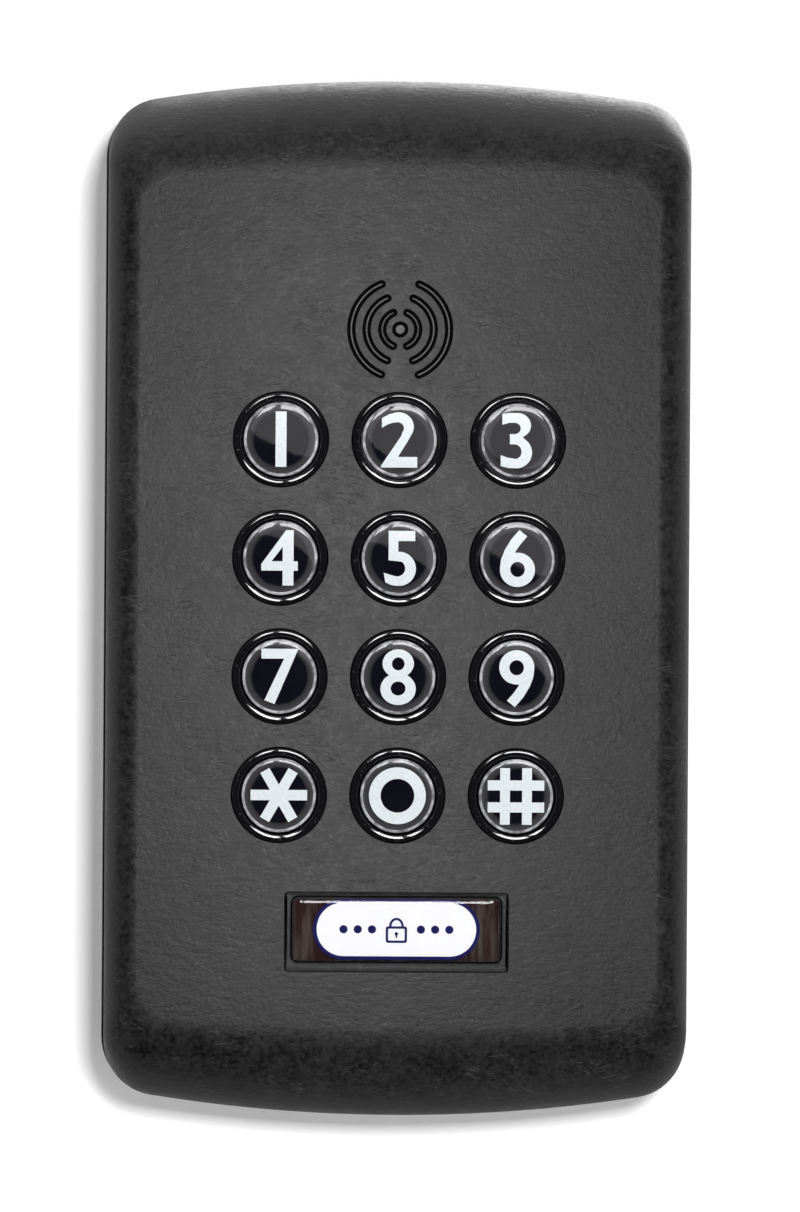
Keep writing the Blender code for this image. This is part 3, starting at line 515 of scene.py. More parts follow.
def turned(profile, centre=(0.0, 0.0), steps=ROUND_STEPS, ring=False):
    """A solid turned from (radius, height) points about an axis through centre."""
    bm = bmesh.new()
    points = [bm.verts.new((radius, 0.0, height)) for radius, height in profile]
    edges = [bm.edges.new(pair) for pair in zip(points, points[1:])]
    if ring:
        edges.append(bm.edges.new((points[-1], points[0])))
    bmesh.ops.spin(
        bm, geom=points + edges, cent=(0, 0, 0), axis=(0, 0, 1), angle=2 * math.pi, steps=steps,
        use_merge=True,
    )
    bmesh.ops.remove_doubles(bm, verts=bm.verts, dist=MERGE)
    bmesh.ops.delete(bm, geom=[edge for edge in bm.edges if not edge.link_faces], context="EDGES")
    bmesh.ops.recalc_face_normals(bm, faces=bm.faces)
    bmesh.ops.translate(bm, vec=(*centre, 0.0), verts=bm.verts)
    return bm


def rod(radius, low, high, centre=(0.0, 0.0), steps=32):
    return turned([(0, low), (radius, low), (radius, high), (0, high)], centre, steps)


def box(size, centre, low, high, edge_round=0.0):
    """A cuboid, all its edges rounded if asked."""
    bm = bmesh.new()
    bmesh.ops.create_cube(bm, size=1.0)
    bmesh.ops.scale(bm, vec=(size[0], size[1], high - low), verts=bm.verts)
    bmesh.ops.translate(bm, vec=(centre[0], centre[1], (low + high) / 2), verts=bm.verts)
    if edge_round:
        round_off(bm, list(bm.edges), edge_round)
    return bm


def lay_along_v(bm, height):
    """Turns a solid made about the w axis so that it lies along v at the given height."""
    bmesh.ops.rotate(bm, cent=(0, 0, 0), matrix=Matrix.Rotation(-math.pi / 2, 3, "X"), verts=bm.verts)
    bmesh.ops.translate(bm, vec=(0, 0, height), verts=bm.verts)
    return bm


def gather(parts):
    """Several solids as one mesh."""
    whole = bmesh.new()
    for part in parts:
        mesh = bpy.data.meshes.new("part")
        part.to_mesh(mesh)
        part.free()
        whole.from_mesh(mesh)
        bpy.data.meshes.remove(mesh)
    return whole


def working_object(bm, name):
    mesh = bpy.data.meshes.new(name)
    bm.to_mesh(mesh)
    bm.free()
    obj = bpy.data.objects.new(name, mesh)
    bpy.context.scene.collection.objects.link(obj)
    return obj


def carve(bm, steps, wall=0.0, overlaps=False, singly=False):
    """The solid, given a wall inwards if asked, then joined, cut or trimmed by each (operation, parts).

    overlaps is for a base whose own parts run into each other, singly for tools that do.
    """
    base = working_object(bm, "base")
    if wall:
        thickness = base.modifiers.new("wall", "SOLIDIFY")
        thickness.thickness = wall
        thickness.offset = -1.0
        thickness.use_even_offset = True
    tools = []
    if singly:
        steps = [(operation, [part]) for operation, parts in steps for part in parts]
    for operation, parts in steps:
        tool = working_object(gather(parts), "tool")
        cut = base.modifiers.new("cut", "BOOLEAN")
        cut.operation = operation
        cut.object = tool
        cut.solver = "EXACT"
        cut.use_self = overlaps
        tools.append(tool)
    result = bmesh.new()
    result.from_object(base, bpy.context.evaluated_depsgraph_get())
    if not result.faces:
        raise RuntimeError("a Boolean left nothing")
    for obj in [base, *tools]:
        mesh = obj.data
        bpy.data.objects.remove(obj)
        bpy.data.meshes.remove(mesh)
    return result


def add_piece(name, bm, finishes, stands_for=(), body=HOUSING, sharp=38):
    """Stands the shape in the model's frame as a named piece that rides on a body."""
    bmesh.ops.remove_doubles(bm, verts=bm.verts, dist=MERGE)
    bmesh.ops.transform(bm, matrix=TO_WORLD, verts=bm.verts)
    mesh = bpy.data.meshes.new(name)
    bm.to_mesh(mesh)
    bm.free()
    for finish in finishes:
        mesh.materials.append(finish_of(finish))
    mesh.shade_smooth()
    mesh.set_sharp_from_angle(angle=math.radians(sharp))
    obj = bpy.data.objects.new(name, mesh)
    bpy.context.scene.collection.objects.link(obj)
    even = obj.modifiers.new("even_shading", "WEIGHTED_NORMAL")
    even.mode = "FACE_AREA"
    even.weight = 50
    even.keep_sharp = True
    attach(obj, body)
    if stands_for:
        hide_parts(*stands_for)
    return obj


def key_places():
    """(name, u, v) of every key."""
    for row, names in enumerate(KEY_NAMES):
        for column, name in enumerate(names):
            yield name, (column - 1) * KEY_PITCH, TOP_ROW - row * KEY_PITCH


# ---------------------------------------------------------------- shader maths


class Wire:
    """A shader socket that takes Python's signs; each adds one Math node."""

    def __init__(self, tree, socket):
        self.tree = tree
        self.socket = socket

    def math(self, operation, *others, clamp=False):
        node = self.tree.nodes.new("ShaderNodeMath")
        node.operation = operation
        node.use_clamp = clamp
        for place, value in zip(node.inputs, others):
            if isinstance(value, Wire):
                self.tree.links.new(value.socket, place)
            else:
                place.default_value = value
        return Wire(self.tree, node.outputs[0])

    def __add__(self, other):
        return self.math("ADD", self, other)

    __radd__ = __add__

    def __sub__(self, other):
        return self.math("SUBTRACT", self, other)

    def __rsub__(self, other):
        return self.math("SUBTRACT", other, self)

    def __mul__(self, other):
        return self.math("MULTIPLY", self, other)

    __rmul__ = __mul__

    def __pow__(self, other):
        return self.math("POWER", self, other)

    def limited(self):
        return self.math("ADD", self, 0.0, clamp=True)


class Finish:
    """A material under construction: one Principled shader and the nodes that feed it."""

    def __init__(self, name, colour, roughness, metallic=0.0, **constants):
        self.material = bpy.data.materials.new(name)
        self.material.use_nodes = True
        self.tree = self.material.node_tree
        self.shader = self.tree.nodes["Principled BSDF"]
        self.set("Base Color", colour)
        self.set("Roughness", roughness)
        self.set("Metallic", metallic)
        for socket, value in constants.items():
            self.set(socket.replace("_", " ").title().replace("Ior", "IOR"), value)
        self.place = self.add("ShaderNodeTexCoord").outputs["Object"]

    def add(self, kind, settings=None, sockets=None):
        """A node: its settings first, then its sockets' values or links."""
        node = self.tree.nodes.new(kind)
        for key, value in (settings or {}).items():
            if key == "stops":
                self.set_stops(node.color_ramp, value)
            else:
                setattr(node, key, value)
        for key, value in (sockets or {}).items():
            self.fill(node.inputs[key], value)
        return node

    def set_stops(self, ramp, stops):
        while len(ramp.elements) < len(stops):
            ramp.elements.new(1.0)
        for element, (position, level) in zip(ramp.elements, stops):
            element.position = position
            element.color = (level, level, level, 1.0)

    def fill(self, socket, value):
        if isinstance(value, Wire):
            self.tree.links.new(value.socket, socket)
        elif isinstance(value, bpy.types.NodeSocket):
            self.tree.links.new(value, socket)
        elif isinstance(value, tuple) and socket.type == "RGBA":
            socket.default_value = (*value[:3], 1.0)
        else:
            socket.default_value = value

    def set(self, socket, value):
        self.fill(self.shader.inputs[socket], value)

    def wire(self, socket):
        return Wire(self.tree, socket)

    def stretched(self, scale, turn=(0.0, 0.0, 0.0)):
        """The object's coordinates, turned and then scaled along each axis."""
        turned_place = self.add(
            "ShaderNodeMapping", {"vector_type": "POINT"}, {"Vector": self.place, "Rotation": turn}
        ).outputs[0]
        return self.add(
            "ShaderNodeVectorMath", {"operation": "MULTIPLY"}, {0: turned_place, 1: scale}
        ).outputs[0]

    def noise(self, size, detail=3.0, roughness=0.55, vector=None):
        """Soft mottling whose features are size millimetres across, from 0 to 1."""
        node = self.add(
            "ShaderNodeTexNoise", {"noise_dimensions": "3D"},
            {
                "Vector": vector or self.place, "Scale": 1 / (size * MM), "Detail": detail,
                "Roughness": roughness,
            },
        )
        return self.wire(node.outputs["Fac"])

    def ramp(self, wire, *stops):
        """A value eased between (position, level) stops."""
        node = self.add("ShaderNodeValToRGB", {"stops": stops}, {"Fac": wire})
        return self.wire(node.outputs["Color"])

    def mix(self, factor, first, second):
        """A colour between two colours."""
        node = self.add("ShaderNodeMix", {"data_type": "RGBA"}, {0: factor, 6: first, 7: second})
        return node.outputs[2]

    def bump(self, height, depth):
        """A relief whose full height is depth millimetres."""
        return self.add("ShaderNodeBump", None, {"Height": height, "Distance": depth * MM}).outputs[0]

    def scratches(self, turn, seed, level=0.665):
        """Sparse short marks that lie along one direction."""
        offset = self.add(
            "ShaderNodeVectorMath", {"operation": "ADD"},
            {0: self.stretched((520.0, 520.0, 5200.0), (0.0, turn, 0.0)), 1: (seed, seed, seed)},
        ).outputs[0]
        fine = self.add(
            "ShaderNodeTexNoise", None, {"Vector": offset, "Scale": 1.0, "Detail": 1.0, "Roughness": 0.4}
        ).outputs["Fac"]
        return self.ramp(self.wire(fine), (level, 0.0), (level + 0.05, 1.0))


def scaled(colour, factor):
    return tuple(min(1.0, channel * factor) for channel in colour[:3])


def satin_case(name, settings, highlight_tone=1.0, polish=0.0):
    """Satin moulding with a leathery grain, faint mottling, shallow creases and a few light scratches; a
    highlight tone above 1 paints a lighter copy as a highlight.
    """
    colour = tuple(settings.colour)
    finish = Finish(name, scaled(colour, highlight_tone), settings.roughness, specular_ior_level=0.8)
    broad = finish.noise(22.0, 2.0)
    mottle = finish.noise(2.4, 4.0)
    grain = finish.noise(0.62, 3.0, 0.6)
    fine = finish.noise(0.2, 2.0, 0.5)
    marks = (finish.scratches(math.radians(8), 3.0) + finish.scratches(math.radians(-24), 11.0)).limited()
    thinned = finish.ramp(finish.noise(5.0, 1.0), (0.48, 0.0), (0.60, 1.0))
    scuffs = marks * thinned
    shade = finish.ramp(broad * 0.2 + mottle * 0.3 + grain * 0.5, (0.36, 0.0), (0.64, 1.0))
    body = finish.mix(shade, scaled(colour, highlight_tone * 0.2), scaled(colour, highlight_tone * 2.8))
    finish.set("Base Color", finish.mix(scuffs * 0.5, body, scaled(colour, highlight_tone * 7.0)))
    finish.set("Roughness", settings.roughness - polish + (mottle - 0.5) * 0.24 + (grain - 0.5) * 0.36)
    creases = finish.noise(0.9, 3.0, 0.6, finish.stretched((0.55, 1.0, 1.25)))
    relief = grain * 0.35 + creases * 0.45 + fine * 0.15 + scuffs * 0.25
    finish.set("Normal", finish.bump(relief, 0.12))
    return finish.material


def painted_groove_shade(name):
    """Painted shade: near-black for the inside of a narrow groove, where shade falls, with a little dust.
    """
    finish = Finish(name, (0.002, 0.002, 0.002), 0.6, specular_ior_level=0.05)
    dust = finish.ramp(finish.noise(0.4, 2.0), (0.6, 0.0), (0.8, 1.0))
    finish.set("Base Color", finish.mix(dust, (0.0008, 0.0008, 0.001), (0.004, 0.004, 0.004)))
    finish.set("Roughness", 0.5 + dust * 0.3)
    return finish.material


def gloss_black(name, settings):
    """Polished moulding with faint flow marks and dust."""
    colour = tuple(settings.gloss_colour)
    finish = Finish(name, colour, 0.06, specular_ior_level=1.0)
    haze = finish.noise(2.6, 3.0)
    specks = finish.ramp(finish.noise(0.35, 1.0, 0.4), (0.70, 0.0), (0.74, 1.0))
    finish.set("Base Color", finish.mix(specks * 0.25, colour, (0.12, 0.12, 0.12)))
    finish.set("Roughness", 0.035 + haze * 0.05 + specks * 0.2)
    finish.set("Normal", finish.bump(haze + finish.noise(0.8, 2.0) * 0.4, 0.012))
    return finish.material


def key_resin(name, settings):
    """Clear dome over a black disc, with a painted glow: a lighter ring outside the disc stands in for the
    light that the clear resin gathers.
    """
    colour = tuple(settings.colour)
    finish = Finish(name, colour, 0.05)
    split = finish.add("ShaderNodeSeparateXYZ", None, {0: finish.place})
    half = KEY_PITCH * MM / 2
    across = finish.wire(split.outputs["X"]).math("WRAP", finish.wire(split.outputs["X"]), half, -half)
    row = finish.wire(split.outputs["Z"]) - (TOP_ROW - KEY_PITCH) * MM
    up = row.math("WRAP", row, half, -half)
    reach = (across * across + up * up) ** 0.5 * (1 / (5 * MM))
    haze = finish.noise(1.4, 3.0)
    wiped = finish.noise(1.0, 2.0, 0.5, finish.stretched((0.35, 0.35, 1.6), (0.0, 0.5, 0.0)))
    # painted glow: a lighter ring from about 3.4 mm out, brightest near 4.3 mm
    painted_skirt_glow = finish.ramp(reach + (haze - 0.5) * 0.05, (0.68, 0.0), (0.74, 0.55), (0.86, 1.0), (0.90, 0.75))
    disc = finish.mix(haze, scaled(colour, 0.5), scaled(colour, 1.3))
    finish.set("Base Color", finish.mix(painted_skirt_glow, disc, tuple(settings.skirt_glow_colour)))
    finish.set("Roughness", 0.03 + wiped * 0.05)
    finish.set("Normal", finish.bump(haze + wiped * 0.4, 0.004))
    return finish.material


def key_rim_glow(name, settings):
    """Clear edge of the key's dome, painted light grey as a glowing highlight for the light of the room
    that the edge gathers.
    """
    colour = tuple(settings.rim_glow_colour)
    finish = Finish(name, colour, 0.12, coat_weight=1.0)
    # painted highlight in uneven streaks, rougher where brighter
    painted_reflection_streaks = finish.ramp(finish.noise(1.1, 2.0), (0.3, 0.0), (0.7, 1.0))
    finish.set("Base Color", finish.mix(painted_reflection_streaks, scaled(colour, 0.3), scaled(colour, 1.6)))
    finish.set("Roughness", 0.08 + painted_reflection_streaks * 0.14)
    finish.set("Normal", finish.bump(painted_reflection_streaks, 0.01))
    return finish.material


def printed(name, colour, roughness=0.28, grain=0.03):
    """Printed ink under a clear coat."""
    finish = Finish(name, colour, roughness, coat_weight=0.6, coat_roughness=0.08)
    patch = finish.noise(0.5, 3.0)
    finish.set("Base Color", finish.mix(patch, scaled(colour, 1 - 2 * grain), scaled(colour, 1 + grain)))
    finish.set("Roughness", roughness - 0.06 + patch * 0.12)
    finish.set("Normal", finish.bump(patch, 0.003))
    return finish.material


def smoked_lens(name, settings):
    """Dark tinted acrylic, with lighter streaks drawn out up and down, painted in as reflections."""
    colour = tuple(settings.window_colour)
    finish = Finish(name, colour, 0.1)
    cloud = finish.noise(4.0, 2.0)
    drawn = finish.noise(1.1, 3.0, 0.6, finish.stretched((1.0, 1.0, 0.10)))
    # painted reflection: these streaks lighten the tint towards grey
    painted_reflection_streaks = finish.ramp(drawn, (0.46, 0.0), (0.72, 1.0))
    body = finish.mix(cloud, scaled(colour, 0.5), scaled(colour, 1.6))
    finish.set("Base Color", finish.mix(painted_reflection_streaks, body, (0.085, 0.070, 0.066)))
    finish.set("Roughness", 0.06 + cloud * 0.06)
    finish.set("Normal", finish.bump(cloud, 0.01))
    return finish.material


def clear_resin(name):
    """Clear poured resin: only its gloss shows over what is under it."""
    finish = Finish(name, (0.95, 0.95, 0.97), 0.03, 1.0)
    sheen = finish.wire(finish.add("ShaderNodeFresnel", None, {"IOR": 1.52}).outputs[0])
    cloud = finish.noise(2.2, 2.0)
    inside = finish.wire(finish.add("ShaderNodeNewGeometry").outputs["Backfacing"])
    finish.set("Alpha", (sheen * (0.95 + cloud * 0.1) * (1 - inside)).limited())
    finish.set("Roughness", 0.02 + cloud * 0.03)
    finish.set("Normal", finish.bump(cloud, 0.01))
    finish.material.surface_render_method = "BLENDED"
    return finish.material


def moulded(name, colour, roughness, grain=0.4, depth=0.02):
    """Plain moulded plastic or rubber: faint mottling and a fine grain."""
    finish = Finish(name, colour, roughness)
    mottle = finish.noise(3.5, 3.0)
    fine = finish.noise(grain, 3.0)
    shade = mottle * 0.6 + fine * 0.4
    finish.set("Base Color", finish.mix(shade, scaled(colour, 0.8), scaled(colour, 1.2)))
    finish.set("Roughness", roughness - 0.08 + fine * 0.16)
    finish.set("Normal", finish.bump(fine + mottle * 0.3, depth))
    return finish.material


def metal(name, colour, roughness, brush=(1.0, 0.12, 1.0), spangle=0.0, metallic=1.0):
    """Bare or plated metal with drawn lines or zinc spangles."""
    finish = Finish(name, colour, roughness, metallic)
    drawn = finish.noise(0.5, 3.0, 0.6, finish.stretched(brush))
    crystals = finish.add(
        "ShaderNodeTexVoronoi", {"feature": "F1"}, {"Vector": finish.place, "Scale": 1 / (3.2 * MM)}
    )
    cells = finish.ramp(finish.wire(crystals.outputs["Color"]), (0.2, 0.0), (0.8, 1.0))
    tint = (drawn * (1 - spangle) + cells * spangle).limited()
    finish.set("Base Color", finish.mix(tint, scaled(colour, 0.72), scaled(colour, 1.15)))
    finish.set("Roughness", roughness - 0.08 + drawn * 0.14 + cells * (0.12 * spangle))
    finish.set("Normal", finish.bump(drawn, 0.006))
    return finish.material


def circuit_green(name):
    """Solder-masked board with copper tracks showing through the mask."""
    colour = (0.012, 0.10, 0.045)
    finish = Finish(name, colour, 0.32, coat_weight=0.5, coat_roughness=0.1)
    across = finish.add(
        "ShaderNodeTexBrick", {"offset": 0.5},
        {"Vector": finish.stretched((1.0, 1.0, 1.0), (math.pi / 2, 0.0, 0.0)), "Scale": 170.0,
         "Mortar Size": 0.03, "Color1": (0, 0, 0), "Color2": (0, 0, 0), "Mortar": (1, 1, 1)},
    )
    tracks = finish.ramp(finish.wire(across.outputs["Color"]), (0.4, 0.0), (0.6, 1.0))
    weave = finish.noise(0.7, 2.0)
    masked = finish.mix(weave, scaled(colour, 0.85), scaled(colour, 1.2))
    finish.set("Base Color", finish.mix(tracks * 0.6, masked, (0.05, 0.26, 0.10)))
    finish.set("Roughness", 0.28 + weave * 0.1)
    finish.set("Normal", finish.bump(tracks + weave * 0.2, 0.03))
    return finish.material


def enamelled_wire(name):
    """Many turns of fine lacquered wire laid side by side."""
    colour = (0.50, 0.20, 0.08)
    finish = Finish(name, colour, 0.3, 1.0)
    lay = finish.noise(0.3, 2.0)
    turns = finish.wire(
        finish.add(
            "ShaderNodeTexWave", {"wave_type": "BANDS", "bands_direction": "Y"},
            {"Vector": finish.place, "Scale": 900.0, "Distortion": 2.0},
        ).outputs["Fac"]
    )
    finish.set("Base Color", finish.mix(turns * 0.7 + lay * 0.3, scaled(colour, 0.5), scaled(colour, 1.4)))
    finish.set("Roughness", 0.22 + lay * 0.16)
    finish.set("Normal", finish.bump(turns, 0.04))
    return finish.material


def make_finishes(scene):
    """Every finish by its name."""
    case, keys, badge = scene.reader_case, scene.reader_keys, scene.reader_badge
    navy = tuple(badge.border_colour)
    return {
        "satin_case": satin_case("satin_case", case),
        # painted highlight: the symbol's ridges are the satin case painted three times lighter and a little
        # glossier, for the light they catch
        "symbol_ridge_highlight": satin_case("symbol_ridge_highlight", case, 3.0, 0.10),
        # painted shade for the grooves, the moat round the badge and the key holes' walls
        "painted_groove_shade": painted_groove_shade("painted_groove_shade"),
        "gloss_black": gloss_black("gloss_black", case),
        "key_resin": key_resin("key_resin", keys),
        "key_rim_glow": key_rim_glow("key_rim_glow", keys),
        "legend_ink": printed("legend_ink", tuple(keys.legend_colour)),
        "smoked_lens": smoked_lens("smoked_lens", badge),
        "clear_resin": clear_resin("clear_resin"),
        "label_white": printed("label_white", tuple(badge.field_colour), 0.35, 0.02),
        "label_navy": printed("label_navy", navy, 0.3, 0.2),
        "white_plastic": moulded("white_plastic", (0.78, 0.77, 0.74), 0.38),
        "silicone": moulded("silicone", (0.30, 0.31, 0.33), 0.60, 0.3, 0.03),
        "carbon": moulded("carbon", (0.018, 0.018, 0.018), 0.82, 0.25, 0.04),
        "board_green": circuit_green("board_green"),
        "copper": enamelled_wire("copper"),
        "component_black": moulded("component_black", (0.02, 0.02, 0.022), 0.52, 0.3, 0.02),
        "terminal_green": moulded("terminal_green", (0.025, 0.24, 0.10), 0.42),
        "led_red": moulded("led_red", (0.52, 0.02, 0.02), 0.25),
        "led_green": moulded("led_green", (0.03, 0.42, 0.07), 0.25),
        "led_amber": moulded("led_amber", (0.68, 0.30, 0.02), 0.25),
        "steel": metal("steel", (0.56, 0.57, 0.58), 0.30),
        "zinc_plate": metal("zinc_plate", (0.66, 0.68, 0.70), 0.42, (1.0, 1.0, 1.0), 0.75, 0.8),
        "seal_rubber": moulded("seal_rubber", (0.014, 0.014, 0.015), 0.72, 0.3, 0.03),
    }


FINISHES = {}


def finish_of(name):
    """A finish by its name; the first call makes them all from the scene's settings."""
    if not FINISHES:
        FINISHES.update(make_finishes(bpy.context.scene))
    return FINISHES[name]


# ---------------------------------------------------------------- case


def shoulder_section(turn):
    """Outline and height of the shoulder, from turn 0 at the flat face to a quarter turn at its foot."""
    out = math.sin(turn)
    drop = (FACE - SHOULDER_FOOT) * (1 - math.cos(turn))
    side_level = max(0.0, 1 - drop / SIDE_DEPTH)
    side_reach = COVER_HALF_WIDTH - COVER_DRAFT - SIDE_START
    half_width = SIDE_START + side_reach * math.sqrt(1 - side_level**2)
    half_height = FLAT_HALF_HEIGHT + (COVER_HALF_HEIGHT - COVER_DRAFT - FLAT_HALF_HEIGHT) * out
    corner = FLAT_CORNER + (COVER_CORNER - COVER_DRAFT - FLAT_CORNER) * out
    curve = 1 / FLAT_BOW + (1 / END_BOW - 1 / FLAT_BOW) * out
    height = SHOULDER_FOOT + (FACE - SHOULDER_FOOT) * math.cos(turn)
    return bowed_outline(half_width, half_height, corner, 1 / curve), height


def flared_rod(radius, low, round_radius, centre):
    """Cutter for a hole whose mouth at the face is rounded over."""
    mouth = [
        (
            radius + round_radius * (1 - math.cos(turn)),
            FACE - round_radius * (1 - math.sin(turn)),
        )
        for turn in (0.0, math.pi / 8, math.pi / 4, 3 * math.pi / 8, math.pi / 2)
    ]
    return turned([(0, low), (radius, low), *mouth, (mouth[-1][0], FACE + PAST), (0, FACE + PAST)], centre)


def flared_band(outline_at, low, flare):
    """Cutter from low to past the face; outline_at(grow) gives the outline grown by that much."""
    return loft(
        [
            (outline_at(0.0), low),
            (outline_at(0.0), FACE - flare),
            (outline_at(0.3 * flare), FACE - 0.3 * flare),
            (outline_at(flare), FACE),
            (outline_at(flare), FACE + PAST),
        ]
    )


def symbol_arcs():
    """(radius, start, end) of the symbol's six arcs."""
    for radius in SYMBOL_RADII:
        for start in (SYMBOL_GAP - math.pi / 2, SYMBOL_GAP + math.pi / 2):
            yield radius, start, start + math.pi - 2 * SYMBOL_GAP


class READER_OT_front_cover(bpy.types.Operator):
    """Makes the satin front cover with its key holes, badge recess and engraved symbol"""

    bl_idname = "access_reader.front_cover"
    bl_label = "Front cover"
    bl_options = {"REGISTER", "UNDO"}

    def execute(self, context):
        case = context.scene.reader_case
        steps = case.shoulder_steps
        turns = [math.pi / 2 * (1 - step / steps) for step in range(steps + 1)]
        skin = [
            (cover_outline(HEM), COVER_EDGE),
            (cover_outline(0.3 * HEM), COVER_EDGE + 0.3 * HEM),
            (cover_outline(), COVER_EDGE + HEM),
            *[shoulder_section(turn) for turn in turns],
        ]
        root = INSIDE + ROOT
        joins = [rod(CASE_BOSS, CASE_BOSS_BACK, root, centre) for centre in CASE_BOSSES]
        joins += [rod(BOARD_POST, BOARD_POST_BACK, root, centre) for centre in BOARD_POSTS]
        joins += [rod(STAKE, FRAME_BACK - ROOT, root, centre, 20) for centre in STAKES]
        tray_size = (RECESS[0] - 2 * MOAT_WIDTH, RECESS[1] - 2 * MOAT_WIDTH)
        tray_line = rounded_rectangle(tray_size, 0.3, RECESS_CENTRE)
        slot = box(WINDOW_SLOT, BADGE_CENTRE, INSIDE - PAST, FACE)
        pocket = self.badge_pocket(tray_line)
        work = [("UNION", joins), *[("DIFFERENCE", cuts) for cuts in (self.holes(case), [pocket], [slot])]]
        cover = carve(loft(skin, back=False), work, wall=COVER_WALL)
        # painted shade: the recesses get the near-black second finish
        self.paint_shade_in_grooves(cover, tray_line)
        add_piece("cover_shell", cover, ["satin_case", "painted_groove_shade"], ["front_cover"])
        # the ridges carry the painted highlight finish
        add_piece("symbol_ridges", self.symbol_crests(case), ["symbol_ridge_highlight"])
        return {"FINISHED"}

    def holes(self, case):
        """Cutters of the pilot holes, the key holes and the symbol's grooves."""
        cuts = [rod(CASE_PILOT, CASE_BOSS_BACK - PAST, CASE_PILOT_END, centre) for centre in CASE_BOSSES]
        pilot = (BOARD_PILOT, BOARD_POST_BACK - PAST, BOARD_PILOT_END)
        cuts += [rod(*pilot, centre) for centre in BOARD_POSTS]
        mouth = case.hole_round / MM
        cuts += [flared_rod(KEY_HOLE, INSIDE - PAST, mouth, (u, v)) for _, u, v in key_places()]
        width = case.groove_width / MM
        floor = FACE - case.groove_depth / MM
        for radius, start, end in symbol_arcs():

            def groove(grow):
                return arc_band((radius, radius), width + 2 * grow, start, end, SYMBOL_CENTRE, round_ends=8)

            cuts.append(flared_band(groove, floor, MOUTH_FLARE))
        cuts.append(flared_rod(width, floor, MOUTH_FLARE, SYMBOL_CENTRE))
        return cuts

    def badge_pocket(self, tray_line):
        """Cutter of the badge's recess, with a moat round the tray that the badge lies on."""
        wall_line = rounded_rectangle(RECESS, RECESS_CORNER, RECESS_CENTRE)
        mouth = (RECESS[0] + 0.3, RECESS[1] + 0.3)
        mouth_line = rounded_rectangle(mouth, RECESS_CORNER + 0.15, RECESS_CENTRE)
        moat_floor = BADGE_FLOOR - MOAT_DEPTH
        return loft(
            [
                (tray_line, BADGE_FLOOR), (tray_line, moat_floor), (wall_line, moat_floor),
                (wall_line, FACE - 0.15), (mouth_line, FACE), (mouth_line, FACE + PAST),
            ]
        )

    def symbol_crests(self, case):
        """The fine ridges that stand in the symbol's grooves, and its middle dot."""
        ridge = case.ridge_width / MM
        foot = FACE - case.groove_depth / MM - RIDGE_ROOT
        crests = [
            prism(
                arc_band((radius, radius), ridge, start, end, SYMBOL_CENTRE, round_ends=6),
                foot, FACE - 0.05, front_round=0.05, segments=2,
            )
            for radius, start, end in symbol_arcs()
        ]
        dot = [
            (0, foot), (SYMBOL_DOT, foot), (SYMBOL_DOT, FACE - 0.10), (0.9 * SYMBOL_DOT, FACE - 0.03),
            (0, FACE - 0.02),
        ]
        return gather([*crests, turned(dot, SYMBOL_CENTRE, 32)])

    def paint_shade_in_grooves(self, cover, badge_tray):
        """Paints shade, as near-black, into the symbol's grooves, the moat round the badge and the walls of
        the key holes.
        """
        tray_u = max(u for u, _ in badge_tray)
        tray_v = max(v for _, v in badge_tray)
        tray_low = min(v for _, v in badge_tray)
        recess_u, recess_v = (side / 2 + MERGE for side in RECESS)
        for face in cover.faces:
            u, v, w = face.calc_center_median()
            in_symbol = math.hypot(u, v - SYMBOL_CENTRE[1]) < SYMBOL_RADII[-1] + 1.0
            past_tray = abs(u) > tray_u - MERGE or v > tray_v - MERGE or v < tray_low + MERGE
            in_moat = past_tray and abs(u) < recess_u and abs(v - RECESS_CENTRE[1]) < recess_v
            from_keys = min(math.hypot(u - key_u, v - key_v) for _, key_u, key_v in key_places())
            in_hole = from_keys < KEY_HOLE + 0.02
            if INSIDE < w < FACE - 0.07 and (in_symbol or in_moat) or INSIDE < w < FACE - 0.005 and in_hole:
                # painted shade: faces inside these recesses
                face.material_index = 1


